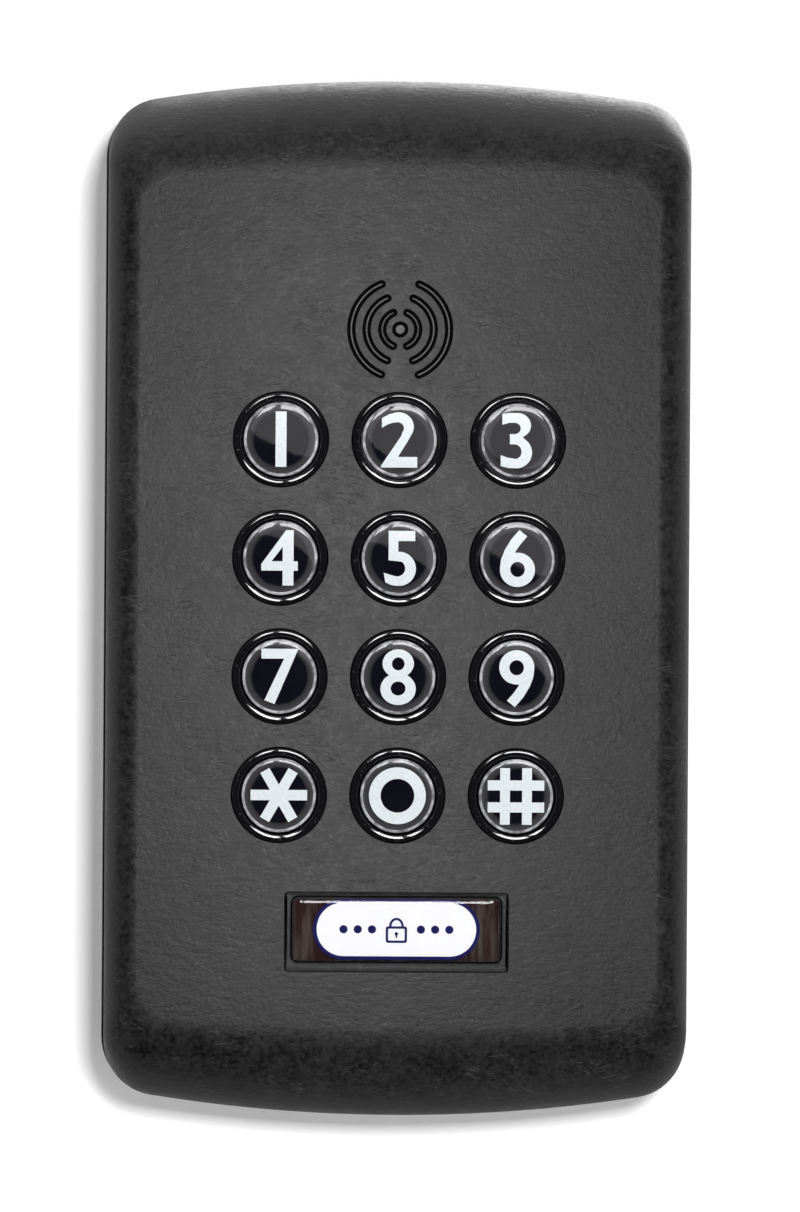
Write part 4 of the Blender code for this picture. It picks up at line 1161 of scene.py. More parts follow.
class READER_OT_rear_housing(bpy.types.Operator):
    """Makes the gloss rear housing and dresses the gasket"""

    bl_idname = "access_reader.rear_housing"
    bl_label = "Rear housing"
    bl_options = {"REGISTER", "UNDO"}

    def execute(self, context):
        tongue_out = REAR_HALF_WIDTH - COVER_HALF_WIDTH + COVER_WALL + FIT_GAP
        edge = 0.5
        rear_round = [
            (rear_outline(edge * (1 - math.cos(turn))), edge * (1 - math.sin(turn)))
            for turn in (math.pi / 2, math.pi / 3, math.pi / 6, 0.0)
        ]
        front_steps = ((0.0, 0.25), (0.08, 0.08), (0.25, 0.0))
        front_round = [(rear_outline(inset), RIM_FRONT - drop) for inset, drop in front_steps]
        rim = loft([*rear_round, *front_round])
        tongue = prism(rear_outline(tongue_out), RIM_FRONT - ROOT, TONGUE_FRONT)
        cavity = prism(rear_outline(tongue_out + TONGUE_WALL), FLOOR_FRONT, TONGUE_FRONT + PAST)
        pocket_line, pocket_mouth = rear_outline(RIM_WALL), rear_outline(RIM_WALL - 0.2)
        plate_pocket = loft(
            [(pocket_mouth, -PAST), (pocket_mouth, 0.0), (pocket_line, 0.2), (pocket_line, FLOOR_BACK)]
        )
        behind = FLOOR_BACK - PAST
        root = FLOOR_FRONT - ROOT
        boss_front = CASE_BOSS_BACK - FIT_GAP
        joins = [rod(CASE_BOSS + ROOT, root, boss_front, centre) for centre in CASE_BOSSES]
        joins.append(rod(PLUNGER_GUIDE["radius"], root, PLUNGER_GUIDE["front"], TAMPER_AT))
        pocket = (LUG[0] + 2 * ROOT, LUG[1] + ROOT)
        lug_house = (pocket[0] + 2 * TONGUE_WALL, pocket[1] + 2 * TONGUE_WALL)
        pocket_front = LUG[2] + FIT_GAP + THIN_GAP
        joins.append(box(lug_house, LUG_CENTRE, root, pocket_front + TONGUE_WALL))
        sink = (CASE_SCREW["head"] + FIT_GAP, behind, CASE_SCREW["seat"] + FIT_GAP)
        cuts = [rod(*sink, centre) for centre in CASE_BOSSES]
        cuts += [rod(CASE_PILOT, behind, boss_front + PAST, centre) for centre in CASE_BOSSES]
        cuts.append(rod(PLUNGER_GUIDE["bore"], behind, PLUNGER_GUIDE["front"] + PAST, TAMPER_AT))
        cuts.append(box(pocket, LUG_CENTRE, behind, pocket_front))
        cuts.append(rod(GROMMET_NECK + 3 * THIN_GAP, behind, FLOOR_FRONT + PAST, CABLE_AT, ROUND_STEPS))
        bottom = -REAR_HALF_HEIGHT - PAST
        lock_hole = rod(LOCK_SCREW["shank"] + 0.4, bottom, LUG_CENTRE[1])
        lock_seat = rod(LOCK_SCREW["head"] + 4 * THIN_GAP, bottom, LOCK_SCREW["seat"] + 2 * THIN_GAP)
        cuts += [lay_along_v(lock_hole, LOCK_HEIGHT), lay_along_v(lock_seat, LOCK_HEIGHT)]
        for side in (-1, 1):
            size = (TAB[0] + 4 * FIT_GAP, TAB[1] / 2 + FIT_GAP)
            centre = (side * TAB_AT, TAB_REACH + size[1] / 2 + 4 * THIN_GAP)
            cuts.append(box(size, centre, ROOT, PLATE_FRONT))
        work = [("UNION", [tongue]), ("DIFFERENCE", [cavity, plate_pocket])]
        work += [("UNION", joins), ("DIFFERENCE", cuts)]
        tray = carve(rim, work, singly=True)
        add_piece("rear_tray", tray, ["gloss_black"], ["rear_housing"])
        dress("case_gasket", "seal_rubber")
        return {"FINISHED"}


class READER_OT_key_guide_frame(bpy.types.Operator):
    """Makes the gloss frame whose twelve round collars stand through the cover"""

    bl_idname = "access_reader.key_guide_frame"
    bl_label = "Key collars"
    bl_options = {"REGISTER", "UNDO"}

    def execute(self, context):
        slab = prism(rounded_rectangle(KEYPAD, 2.0, KEYPAD_CENTRE), FRAME_SKIRT, FRAME_FRONT, 0.3)
        outside = [(radius, COLLAR_TOP - drop) for radius, drop in COLLAR_OUTSIDE]
        inside = [(radius, COLLAR_TOP - drop) for radius, drop in COLLAR_INSIDE]
        foot = FRAME_BACK + ROOT
        below = FRAME_BACK - PAST
        above = COLLAR_TOP + PAST
        body = [(0, foot), (COLLAR_OUTER, foot), *outside, (0, COLLAR_TOP)]
        bore = [(0, below), (COLLAR_INNER, below), *reversed(inside), (COLLAR_CREST, above), (0, above)]
        joins = [turned(body, (u, v), COLLAR_STEPS) for _, u, v in key_places()]
        cuts = [turned(bore, (u, v), COLLAR_STEPS) for _, u, v in key_places()]
        hollow = (KEYPAD[0] - 2 * FRAME_WALL, KEYPAD[1] - 2 * FRAME_WALL)
        cuts.append(prism(rounded_rectangle(hollow, 1.0, KEYPAD_CENTRE), FRAME_SKIRT - PAST, FRAME_BACK))
        cuts += [rod(STAKE + FIT_GAP, below, FRAME_FRONT + PAST, centre, 20) for centre in STAKES]
        frame = carve(slab, [("UNION", joins), ("DIFFERENCE", cuts)])
        add_piece("collar_frame", frame, ["gloss_black"], ["key_guide_frame"])
        return {"FINISHED"}


# ---------------------------------------------------------------- keys


def dome_height(radius, keys):
    """Height of a key's dome: nearly flat in the middle and steeper towards its rim."""
    share = radius / (keys.lens_radius / MM)
    return FACE + keys.crown / MM - radius**2 / (2 * DOME_CURVE) - DOME_DROP * share**DOME_TURN


class READER_OT_key_caps(bpy.types.Operator):
    """Makes the twelve domed key caps and their conductive pills"""

    bl_idname = "access_reader.key_caps"
    bl_label = "Key caps"
    bl_options = {"REGISTER", "UNDO"}

    def execute(self, context):
        keys = context.scene.reader_keys
        lens = keys.lens_radius / MM
        edge = dome_height(lens, keys)
        radii = [lens * step / CAP_RINGS for step in range(CAP_RINGS + 1)]
        dome = [(radius, dome_height(radius, keys)) for radius in radii]
        rim = [(lens + out, edge - down) for out, down in CAP_EDGE]
        rim += [(CAP_RADIUS - 0.05, edge - 0.26), (CAP_RADIUS, edge - 0.42)]
        foot = [
            (CAP_RADIUS, FLANGE_FRONT),
            (FLANGE_RADIUS - 0.1, FLANGE_FRONT),
            (FLANGE_RADIUS, FLANGE_FRONT - 0.1),
            (FLANGE_RADIUS, FLANGE_BACK),
            (0, FLANGE_BACK),
        ]
        pill = [
            (0, PILL["front"]),
            (PILL["radius"] - 0.1, PILL["front"]),
            (PILL["radius"], PILL["front"] - 0.1),
            (PILL["radius"], PILL["back"] + 0.1),
            (PILL["radius"] - 0.1, PILL["back"]),
            (0, PILL["back"]),
        ]
        for name, u, v in key_places():
            cap = turned([*dome, *rim, *foot], (u, v), CAP_STEPS)
            for face in cap.faces:
                middle = face.calc_center_median()
                reach = math.hypot(middle.x - u, middle.y - v)
                # the dome's edge takes the second finish, the painted rim glow
                face.material_index = int(lens < reach < CAP_RADIUS - 0.03 and middle.z > FACE)
            add_piece(
                f"cap_{name}", cap, ["key_resin", "key_rim_glow"], [f"key_cap_{name}"],
                f"key_{name}",
            )
            puck = turned(pill, (u, v), 32)
            add_piece(f"pill_{name}", puck, ["carbon"], [f"contact_pill_{name}"], f"key_{name}")
        return {"FINISHED"}


def oval_points(oval, start, end, steps=30):
    """Points along an oval (centre u, centre v, half width, half height) between two angles in degrees."""
    centre_u, centre_v, across, up = oval
    turns = [(start + (end - start) * step / steps) * math.pi / 180 for step in range(steps + 1)]
    return [(centre_u + across * math.cos(turn), centre_v + up * math.sin(turn)) for turn in turns]


def bowl(outer, inner, start, end):
    """Outline of the stroke between two ovals, from one angle to another."""
    return oval_points(outer, start, end) + oval_points(inner, end, start)


def turned_about(points):
    """The same outline turned half round."""
    return [(-u, -v) for u, v in points]


SIX_TAIL = [
    (0.22, 3.7), (-0.85, 2.45), (-1.65, 1.1), (-2.1, -0.1), (-2.22, -1.25), (-0.9, -1.25), (-0.85, -0.5),
    (-0.5, 0.2), (-0.2, 1.1), (0.45, 2.0), (1.22, 2.9),
]
SIX_RING = ((0.0, -1.33, 2.22, 2.17), (0.02, -1.28, 0.92, 0.95))

# Legends about the key's centre: rings are pairs of ovals, outer and inner, and strokes are outlines
LEGEND_RINGS = {
    "0": [((0.0, 0.0, 3.6, 3.6), (0.0, 0.0, 2.13, 2.13))],
    "6": [SIX_RING],
    "8": [
        ((0.0, 1.72, 1.98, 1.80), (0.0, 1.68, 0.80, 0.82)),
        ((0.0, -1.50, 2.24, 2.02), (0.0, -1.44, 0.94, 0.88)),
    ],
    "9": [((0.0, 1.33, 2.22, 2.17), (-0.02, 1.28, 0.92, 0.95))],
}
LEGEND_STROKES = {
    "1": [bar((0.0, -3.5), (0.0, 3.5), 1.38)],
    "2": [
        bowl((-0.12, 1.64, 1.90, 1.86), (-0.30, 1.50, 0.84, 0.74), -30, 118),
        [(-2.25, 1.52), (-1.5, 1.97), (-0.7, 2.22), (-0.45, 3.44), (-1.3, 3.26), (-2.25, 2.75)],
        [(0.43, 1.13), (0.16, 0.45), (-2.33, -3.25), (-2.33, -3.5), (-0.5, -3.5), (-0.3, -2.3), (1.0, -0.2),
         (1.50, 0.70)],
        [(-2.33, -3.5), (2.24, -3.5), (2.24, -2.15), (-1.3, -2.15)],
    ],
    "3": [
        bowl((-0.10, 1.93, 1.70, 1.57), (-0.50, 1.55, 0.80, 0.72), -75, 95),
        [(-2.02, 3.38), (-2.02, 2.0), (-1.2, 2.25), (-0.45, 2.27), (-0.2, 3.5), (-1.1, 3.5)],
        [(-1.06, 0.83), (-1.06, -0.45), (-0.45, -0.47), (0.3, -0.5), (0.75, 0.3), (0.1, 0.85),
         (-0.45, 0.83)],
        bowl((-0.26, -1.50, 2.02, 2.0), (-0.45, -1.40, 0.88, 0.92), -95, 80),
        [(-2.2, -1.85), (-2.2, -3.22), (-1.2, -3.46), (-0.3, -3.5), (-0.4, -2.3), (-1.4, -2.12)],
    ],
    "4": [
        [(0.30, -3.5), (1.68, -3.5), (1.68, 3.5), (0.72, 3.5), (0.30, 2.9)],
        [(-2.4, -1.62), (2.22, -1.62), (2.22, -0.44), (-2.1, -0.44), (-2.4, -0.84)],
        [(0.72, 3.5), (-2.4, -0.80), (-2.4, -1.1), (-1.6, -1.1), (0.30, 1.40), (0.7, 1.9), (1.0, 3.5)],
    ],
    "5": [
        [(-1.31, 2.22), (2.05, 2.22), (2.05, 3.5), (-1.31, 3.5)],
        [(-1.31, -0.24), (-0.75, -0.28), (0.3, -0.4), (0.3, 0.6), (-0.08, 0.86), (-0.08, 3.4),
         (-1.31, 3.4)],
        bowl((0.03, -1.30, 2.13, 2.16), (-0.20, -1.24, 1.0, 1.02), -102, 98),
        [(-1.92, -1.80), (-1.70, -3.02), (-1.0, -3.34), (-0.3, -3.46), (-0.3, -2.26), (-0.9, -2.12)],
    ],
    "6": [SIX_TAIL],
    "7": [
        [(-2.3, 2.25), (1.8, 2.25), (2.36, 3.5), (-2.3, 3.5)],
        [(0.64, 2.4), (-1.90, -3.0), (-0.62, -3.5), (2.36, 3.5), (1.3, 3.2)],
    ],
    "9": [turned_about(SIX_TAIL)],
    "star": [
        bar(polar((0, 0), 3.58, turn * math.pi / 3), polar((0, 0), -3.58, turn * math.pi / 3), 1.32)
        for turn in range(3)
    ],
    "hash": [
        *[bar((u, -3.58), (u, 3.58), 1.24) for u in (-1.39, 1.39)],
        *[bar((-3.58, v), (3.58, v), 1.28) for v in (-1.39, 1.39)],
    ],
}


def legend_solids(name, low, high):
    """The strokes and rings of a legend as prisms about the key's centre."""
    solids = [prism(outline, low, high) for outline in LEGEND_STROKES.get(name, [])]
    for outer, inner in LEGEND_RINGS.get(name, []):
        solids += [prism(bowl(outer, inner, start - 2, start + 122), low, high) for start in (30, 150, 270)]
    return solids


class READER_OT_key_legends(bpy.types.Operator):
    """Makes the printed legends, curved to lie on the domed keys"""

    bl_idname = "access_reader.key_legends"
    bl_label = "Key legends"
    bl_options = {"REGISTER", "UNDO"}

    def execute(self, context):
        keys = context.scene.reader_keys
        proud = keys.legend_proud / MM
        lens = keys.lens_radius / MM
        radii = [lens * step / PRINT_RINGS for step in range(PRINT_RINGS + 1)]
        upper = [(radius, dome_height(radius, keys) + proud) for radius in radii]
        lower = [(radius, dome_height(radius, keys) - LEGEND_ROOT) for radius in reversed(radii)]
        for name, u, v in key_places():
            strokes = gather(legend_solids(name, FACE - PAST, FACE + 2 * PAST))
            skin = turned([*upper, *lower], steps=CAP_STEPS)
            print_on = carve(strokes, [("INTERSECT", [skin])], overlaps=True)
            bmesh.ops.translate(print_on, vec=(u, v, 0.0), verts=print_on.verts)
            add_piece(f"legend_{name}", print_on, ["legend_ink"], body=f"key_{name}")
        return {"FINISHED"}


class READER_OT_keymat(bpy.types.Operator):
    """Makes the silicone keymat: a web, and a dome under each key, made at rest; a real dome flattens when
    its key is pressed
    """

    bl_idname = "access_reader.keymat"
    bl_label = "Keymat"
    bl_options = {"REGISTER", "UNDO"}

    def execute(self, context):
        outline = rounded_rectangle((KEYPAD[0] - 0.4, KEYPAD[1] - 0.4), 2.0, KEYPAD_CENTRE)
        holes = [rod(3.2, MAT_BACK - PAST, MAT_FRONT + PAST, (u, v)) for _, u, v in key_places()]
        web = carve(prism(outline, MAT_BACK, MAT_FRONT, 0.15), [("DIFFERENCE", holes)])
        add_piece("keymat_web", web, ["silicone"], ["silicone_keymat"])
        for name, u, v in key_places():
            spun = turned(MAT_DOME, (u, v), 40)
            dome = add_piece(f"key_dome_{name}", spun, ["silicone"])
            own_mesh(dome)
        return {"FINISHED"}


# ---------------------------------------------------------------- badge


def pill_outline(size):
    return rounded_rectangle(size, size[1] / 2 - 0.01, BADGE_CENTRE, 14)


def pictogram():
    """A padlock between two rows of code dots, in thin raised print."""
    low = LABEL_FRONT + PRINT
    high = low + PRINT
    centre_u, centre_v = BADGE_CENTRE
    body = rounded_rectangle((2.7, 2.1), 0.3, (centre_u, centre_v - 0.65), 4)
    hole = rounded_rectangle((2.1, 1.5), 0.12, (centre_u, centre_v - 0.65), 4)
    parts = [loft([(body, low), (body, high), (hole, high), (hole, low)], ring=True)]
    parts.append(prism(arc_band((0.78, 0.95), 0.3, 0.0, math.pi, (centre_u, centre_v + 0.38)), low, high))
    parts.append(rod(0.22, low, high, (centre_u, centre_v - 0.55), 20))
    parts.append(prism(bar((centre_u, centre_v - 0.6), (centre_u, centre_v - 1.05), 0.2), low, high))
    for side in (-1, 1):
        for place in CODE_DOTS:
            parts.append(rod(0.52, low, high, (centre_u + side * place, centre_v), 28))
    return gather(parts)


class READER_OT_badge(bpy.types.Operator):
    """Makes the smoked window, the label with its pictogram, and the clear dome over them"""

    bl_idname = "access_reader.badge"
    bl_label = "Badge"
    bl_options = {"REGISTER", "UNDO"}

    def execute(self, context):
        badge = context.scene.reader_badge
        outline = rounded_rectangle(BADGE, 1.0, BADGE_CENTRE)
        plate = prism(outline, WINDOW_BACK, WINDOW_FRONT, 0.06, segments=2)
        boss_size = (WINDOW_SLOT[0] - 2 * FIT_GAP, WINDOW_SLOT[1] - 2 * FIT_GAP)
        boss = box(boss_size, BADGE_CENTRE, WINDOW_BOSS_BACK, WINDOW_BACK + 0.25, 0.1)
        window = carve(plate, [("UNION", [boss])])
        add_piece("window_plate", window, ["smoked_lens"], ["smoked_window"])

        border = badge.border / MM
        backing = prism(pill_outline(LABEL), LABEL_BACK, LABEL_FRONT)
        field_size = (LABEL[0] - 2 * border, LABEL[1] - 2 * border)
        field = prism(pill_outline(field_size), LABEL_FRONT + 0.003, LABEL_FRONT + 0.025)
        add_piece("label_backing", backing, ["label_navy"], ["badge_label"])
        add_piece("label_field", field, ["label_white"])
        add_piece("label_pictogram", pictogram(), ["label_navy"])

        crown = FACE + badge.crown / MM
        sections = [(outline, WINDOW_FRONT + 0.02)]
        for inset, drop in BADGE_DOME:
            size = (BADGE[0] - 2 * inset, BADGE[1] - 2 * inset)
            sections.append((rounded_rectangle(size, 1.0, BADGE_CENTRE), crown - drop))
        pocket = prism(pill_outline((LABEL[0] + 0.1, LABEL[1] + 0.1)), WINDOW_FRONT, LABEL_FRONT + 0.08)
        dome = carve(loft(sections), [("DIFFERENCE", [pocket])])
        for face in dome.faces:
            u, v, _ = face.calc_center_median()
            beyond = max(abs(u) - BADGE[0] / 2, abs(v - BADGE_CENTRE[1]) - BADGE[1] / 2)
            face.material_index = int(beyond > -0.4)
        add_piece("dome_resin", dome, ["clear_resin", "gloss_black"], ["badge_dome"])
        return {"FINISHED"}


# ---------------------------------------------------------------- rear and fasteners


def screw_solid(sizes, drive, end=None):
    """A pan-head screw with a ringed thread; drive lists the cutters of its recess."""
    tip, seat, shank, head, thread = (sizes[key] for key in ("tip", "seat", "shank", "head", "thread"))
    back = seat - HEAD_HEIGHT if end is None else end
    profile = [(0, tip), (0.25, tip - 0.15), (shank, tip - 1.0)]
    height = tip - 1.2
    while height - 0.5 > seat + 1.2:
        profile += [(shank, height), (thread, height - 0.18), (thread, height - 0.26)]
        profile.append((shank, height - 0.44))
        height -= THREAD_PITCH
    profile += [(shank, seat), (head - 0.15, seat), (head, seat - 0.15), (head, back + 0.45)]
    profile += [(head - 0.12, back + 0.18), (head - 0.4, back), (0, back)]
    return carve(turned(profile, steps=40), [("DIFFERENCE", drive)])


def cross_recess(back, reach):
    """Cutters of a cross-shaped recess."""
    sizes = ((2 * reach, CROSS_WIDTH), (CROSS_WIDTH, 2 * reach))
    cutters = [box(size, (0.0, 0.0), back - PAST, back + 1.0) for size in sizes]
    return [carve(cutters[0], [("UNION", [cutters[1]])])]


class READER_OT_screws(bpy.types.Operator):
    """Makes the case screws, the board screws and the lock screw"""

    bl_idname = "access_reader.screws"
    bl_label = "Screws"
    bl_options = {"REGISTER", "UNDO"}

    def execute(self, context):
        for kind, sizes, places in (("case", CASE_SCREW, CASE_BOSSES), ("board", BOARD_SCREW, BOARD_POSTS)):
            for number, centre in enumerate(places, 1):
                back = sizes["seat"] - HEAD_HEIGHT
                screw = screw_solid(sizes, cross_recess(back, sizes["head"] * 0.6))
                bmesh.ops.translate(screw, vec=(*centre, 0.0), verts=screw.verts)
                add_piece(
                    f"{kind}_fixing_{number}", screw, ["steel"], [f"{kind}_screw_{number}"]
                )
        mouth, bottom = LOCK_SCREW_END - PAST, LOCK_SCREW_END + 0.9
        socket = turned([(0, mouth), (SOCKET_RADIUS, mouth), (SOCKET_RADIUS, bottom), (0, bottom)], steps=6)
        pin = rod(SOCKET_PIN, LOCK_SCREW_END - 2 * PAST, LOCK_SCREW_END + 2 * PAST, steps=20)
        lock = screw_solid(LOCK_SCREW, [carve(socket, [("DIFFERENCE", [pin])])], LOCK_SCREW_END)
        add_piece("lock_fixing", lay_along_v(lock, LOCK_HEIGHT), ["steel"], ["security_screw"])
        return {"FINISHED"}


class READER_OT_wall_plate(bpy.types.Operator):
    """Makes the plated wall bracket with its slots, tabs, lug and pressed arrow"""

    bl_idname = "access_reader.wall_plate"
    bl_label = "Wall plate"
    bl_options = {"REGISTER", "UNDO"}

    def execute(self, context):
        blank = prism(rear_outline(RIM_WALL + FIT_GAP), 0.0, PLATE_FRONT, 0.25, 0.25)
        joins = [box(LUG[:2], LUG_CENTRE, PLATE_FRONT - ROOT, LUG[2], 0.3)]
        corner = SLOT[1] / 2 - THIN_GAP
        past = PLATE_FRONT + PAST
        cuts = []
        for side in (-1, 1):
            joins.append(box(TAB, (side * TAB_AT, TAB_REACH), ROOT + FIT_GAP, PLATE_FRONT - FIT_GAP, 0.2))
            for size, centre in (
                (SLOT[::-1], (0.0, side * GANG_SPACING / 2)),
                (SLOT, (side * ROUND_BOX_SPACING / 2, 0.0)),
            ):
                mouth = rounded_rectangle((size[0] + 0.5, size[1] + 0.5), corner + 0.25, centre)
                line = rounded_rectangle(size, corner, centre)
                cuts.append(loft([(mouth, -PAST), (mouth, 0.0), (line, 0.25), (line, past)]))
        mouth = PLATE_APERTURE + 0.3
        hole = [(0, -PAST), (mouth, -PAST), (mouth, 0.0), (PLATE_APERTURE, 0.3), (PLATE_APERTURE, past)]
        cuts.append(turned([*hole, (0, past)], CABLE_AT, COLLAR_STEPS))
        cuts.append(rod(PLUNGER["collar"], -PAST, past, TAMPER_AT))
        arrow = [
            (-0.9, 44.0), (0.9, 44.0), (0.9, 48.5), (2.8, 48.5), (0.0, 52.0), (-2.8, 48.5), (-0.9, 48.5),
        ]
        cuts.append(prism(arrow, -PAST, 0.35))
        thread = rod(LOCK_SCREW["shank"] + 0.3, -REAR_HALF_HEIGHT + PAST, LOCK_SCREW["tip"] + FIT_GAP)
        cuts.append(lay_along_v(thread, LOCK_HEIGHT))
        plate = carve(blank, [("UNION", joins), ("DIFFERENCE", cuts)], singly=True)
        add_piece("wall_bracket", plate, ["zinc_plate"], ["wall_plate"])
        return {"FINISHED"}


class READER_OT_grommet(bpy.types.Operator):
    """Makes the rubber bush of the cable entry"""

    bl_idname = "access_reader.grommet"
    bl_label = "Cable grommet"
    bl_options = {"REGISTER", "UNDO"}

    def execute(self, context):
        rear_lip = FLOOR_BACK - FIT_GAP
        front_lip = FLOOR_FRONT + FIT_GAP
        rear = rear_lip - 1.0
        front = front_lip + 1.0
        rim, shoulder = GROMMET_FLANGE - 0.35, GROMMET_FLANGE - 0.1
        profile = [
            (CABLE_BORE, front - 0.3), (CABLE_BORE + 0.3, front), (rim, front), (shoulder, front - 0.12),
            (GROMMET_FLANGE, front - 0.4), (GROMMET_FLANGE, front_lip), (GROMMET_NECK, front_lip),
            (GROMMET_NECK, rear_lip), (GROMMET_FLANGE, rear_lip), (GROMMET_FLANGE, rear + 0.4),
            (shoulder, rear + 0.12), (rim, rear), (6.3, rear), (6.1, rear + 0.3), (5.7, rear + 0.3),
            (5.5, rear), (CABLE_BORE + 0.5, rear), (CABLE_BORE + 0.15, rear + 0.15),
            (CABLE_BORE, rear + 0.5),
        ]
        bush = turned(profile, CABLE_AT, 80, ring=True)
        add_piece("cable_bush", bush, ["seal_rubber"], ["cable_grommet"])
        return {"FINISHED"}


class READER_OT_tamper(bpy.types.Operator):
    """Makes the tamper plunger and its spring, and dresses its switch"""

    bl_idname = "access_reader.tamper"
    bl_label = "Tamper plunger"
    bl_options = {"REGISTER", "UNDO"}

    def execute(self, context):
        front, radius, tip = PLUNGER["front"], PLUNGER["radius"], PLUNGER["tip"]
        collar, back, face = PLUNGER["collar"], PLUNGER["collar_back"], PLUNGER["collar_front"]
        profile = [
            (0, front), (radius - 0.25, front), (radius, front - 0.25), (radius, face),
            (collar - 0.1, face), (collar, face - 0.1), (collar, back + 0.1), (collar - 0.1, back),
            (radius, back),
            (radius, tip + 0.6), (0.92 * radius, tip + 0.3), (0.7 * radius, tip + 0.1), (0.4 * radius, tip),
            (0, tip),
        ]
        add_piece(
            "plunger_pin", turned(profile, TAMPER_AT, 40), ["white_plastic"],
            ["tamper_plunger"], TAMPER,
        )
        spring = add_piece("plunger_spring", self.coil(), ["steel"], ["tamper_spring"])
        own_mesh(spring)
        dress("tamper_switch", "component_black")
        return {"FINISHED"}

    def coil(self):
        """A round wire swept along a helix by a screw spin."""
        bm = bmesh.new()
        made = bmesh.ops.create_circle(bm, cap_ends=False, radius=SPRING["wire"], segments=12)
        bmesh.ops.rotate(bm, cent=(0, 0, 0), matrix=Matrix.Rotation(math.pi / 2, 3, "X"), verts=bm.verts)
        start = (SPRING["radius"], 0.0, SPRING["back"] + SPRING["wire"])
        bmesh.ops.translate(bm, vec=start, verts=made["verts"])
        steps = int(SPRING["turns"] * 32)
        rise = SPRING["front"] - SPRING["back"] - 2 * SPRING["wire"]
        bmesh.ops.spin(
            bm, geom=list(bm.verts) + list(bm.edges), cent=(0, 0, 0), axis=(0, 0, 1),
            dvec=(0, 0, rise / steps), angle=2 * math.pi * SPRING["turns"], steps=steps,
        )
        bmesh.ops.holes_fill(bm, edges=[edge for edge in bm.edges if edge.is_boundary], sides=0)
        bmesh.ops.recalc_face_normals(bm, faces=bm.faces)
        bmesh.ops.translate(bm, vec=(*TAMPER_AT, 0.0), verts=bm.verts)
        return bm


def dress(node, finish):
    """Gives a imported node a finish, and leaves its shape as it is."""
    FRAME["nodes"][node].material_slots[0].material = finish_of(finish)


class READER_OT_electronics(bpy.types.Operator):
    """Dresses the board, the antenna, the parts on them and the status lights"""

    bl_idname = "access_reader.electronics"
    bl_label = "Electronics"
    bl_options = {"REGISTER", "UNDO"}

    def execute(self, context):
        for node, finish in {
            "circuit_board": "board_green",
            "antenna_coil": "copper",
            "sounder": "component_black",
            "microcontroller": "component_black",
            "door_relay": "component_black",
            "terminal_block": "terminal_green",
            "status_light_pipe": "clear_resin",
            "status_led_red": "led_red",
            "status_led_green": "led_green",
            "status_led_amber": "led_amber",
        }.items():
            dress(node, finish)
        return {"FINISHED"}


# ---------------------------------------------------------------- stage


def area_light(name, place, aim, size, radiance, **shown):
    """A soft rectangular light of the given radiance, out of the camera's sight."""
    light = bpy.data.lights.new(name, "AREA")
    light.shape = "RECTANGLE"
    light.size, light.size_y = size
    light.energy = radiance * math.pi * size[0] * size[1]
    obj = bpy.data.objects.new(name, light)
    bpy.context.scene.collection.objects.link(obj)
    obj.location = place
    obj.rotation_euler = (Vector(aim) - Vector(place)).to_track_quat("-Z", "Y").to_euler()
    obj.visible_camera = False
    for ray, seen in shown.items():
        setattr(obj, f"visible_{ray}", seen)
    return obj


def shine_on(light, names):
    """Lets a light reach the named pieces only."""
    group = bpy.data.collections.new(f"{light.name}_receivers")
    for name in names:
        group.objects.link(bpy.data.objects[name])
    light.light_linking.receiver_collection = group


def backdrop_material(name, colour, front_only):
    """Pale matt paint; a front_only sheet is seen from its front and blocks no light."""
    finish = Finish(name, colour, 0.9)
    speck = finish.noise(1.2, 3.0)
    finish.set("Base Color", finish.mix(speck, scaled(colour, 0.99), scaled(colour, 1.0)))
    finish.set("Specular IOR Level", 0.0)
    if front_only:
        finish.set("Emission Color", (1.0, 1.0, 1.0))
        finish.set("Emission Strength", WALL_GLOW)
        turned_away = finish.wire(finish.add("ShaderNodeNewGeometry").outputs["Backfacing"])
        seen = finish.wire(finish.add("ShaderNodeLightPath").outputs["Is Camera Ray"])
        clear = finish.add("ShaderNodeBsdfTransparent").outputs[0]
        mixed = finish.add(
            "ShaderNodeMixShader", None,
            {0: (1 - seen * (1 - turned_away)).limited(), 1: finish.shader.outputs[0], 2: clear},
        )
        output = finish.tree.nodes["Material Output"]
        finish.tree.links.new(mixed.outputs[0], output.inputs["Surface"])
    return finish.material


def add_sheet(name, half, matrix, material):
    """A flat sheet of the stage, placed by its matrix."""
    bm = bmesh.new()
    bmesh.ops.create_grid(bm, x_segments=1, y_segments=1, size=half)
    bmesh.ops.transform(bm, matrix=matrix, verts=bm.verts)
    mesh = bpy.data.meshes.new(name)
    bm.to_mesh(mesh)
    bm.free()
    mesh.materials.append(material)
    obj = bpy.data.objects.new(name, mesh)
    bpy.context.scene.collection.objects.link(obj)
    return obj


SATIN_PIECES = ("cover_shell", "symbol_ridges")
KEY_PIECES = tuple(f"{kind}_{name}" for kind in ("cap", "legend") for row in KEY_NAMES for name in row)
RING_PIECES = ("collar_frame", "dome_resin", "window_plate")


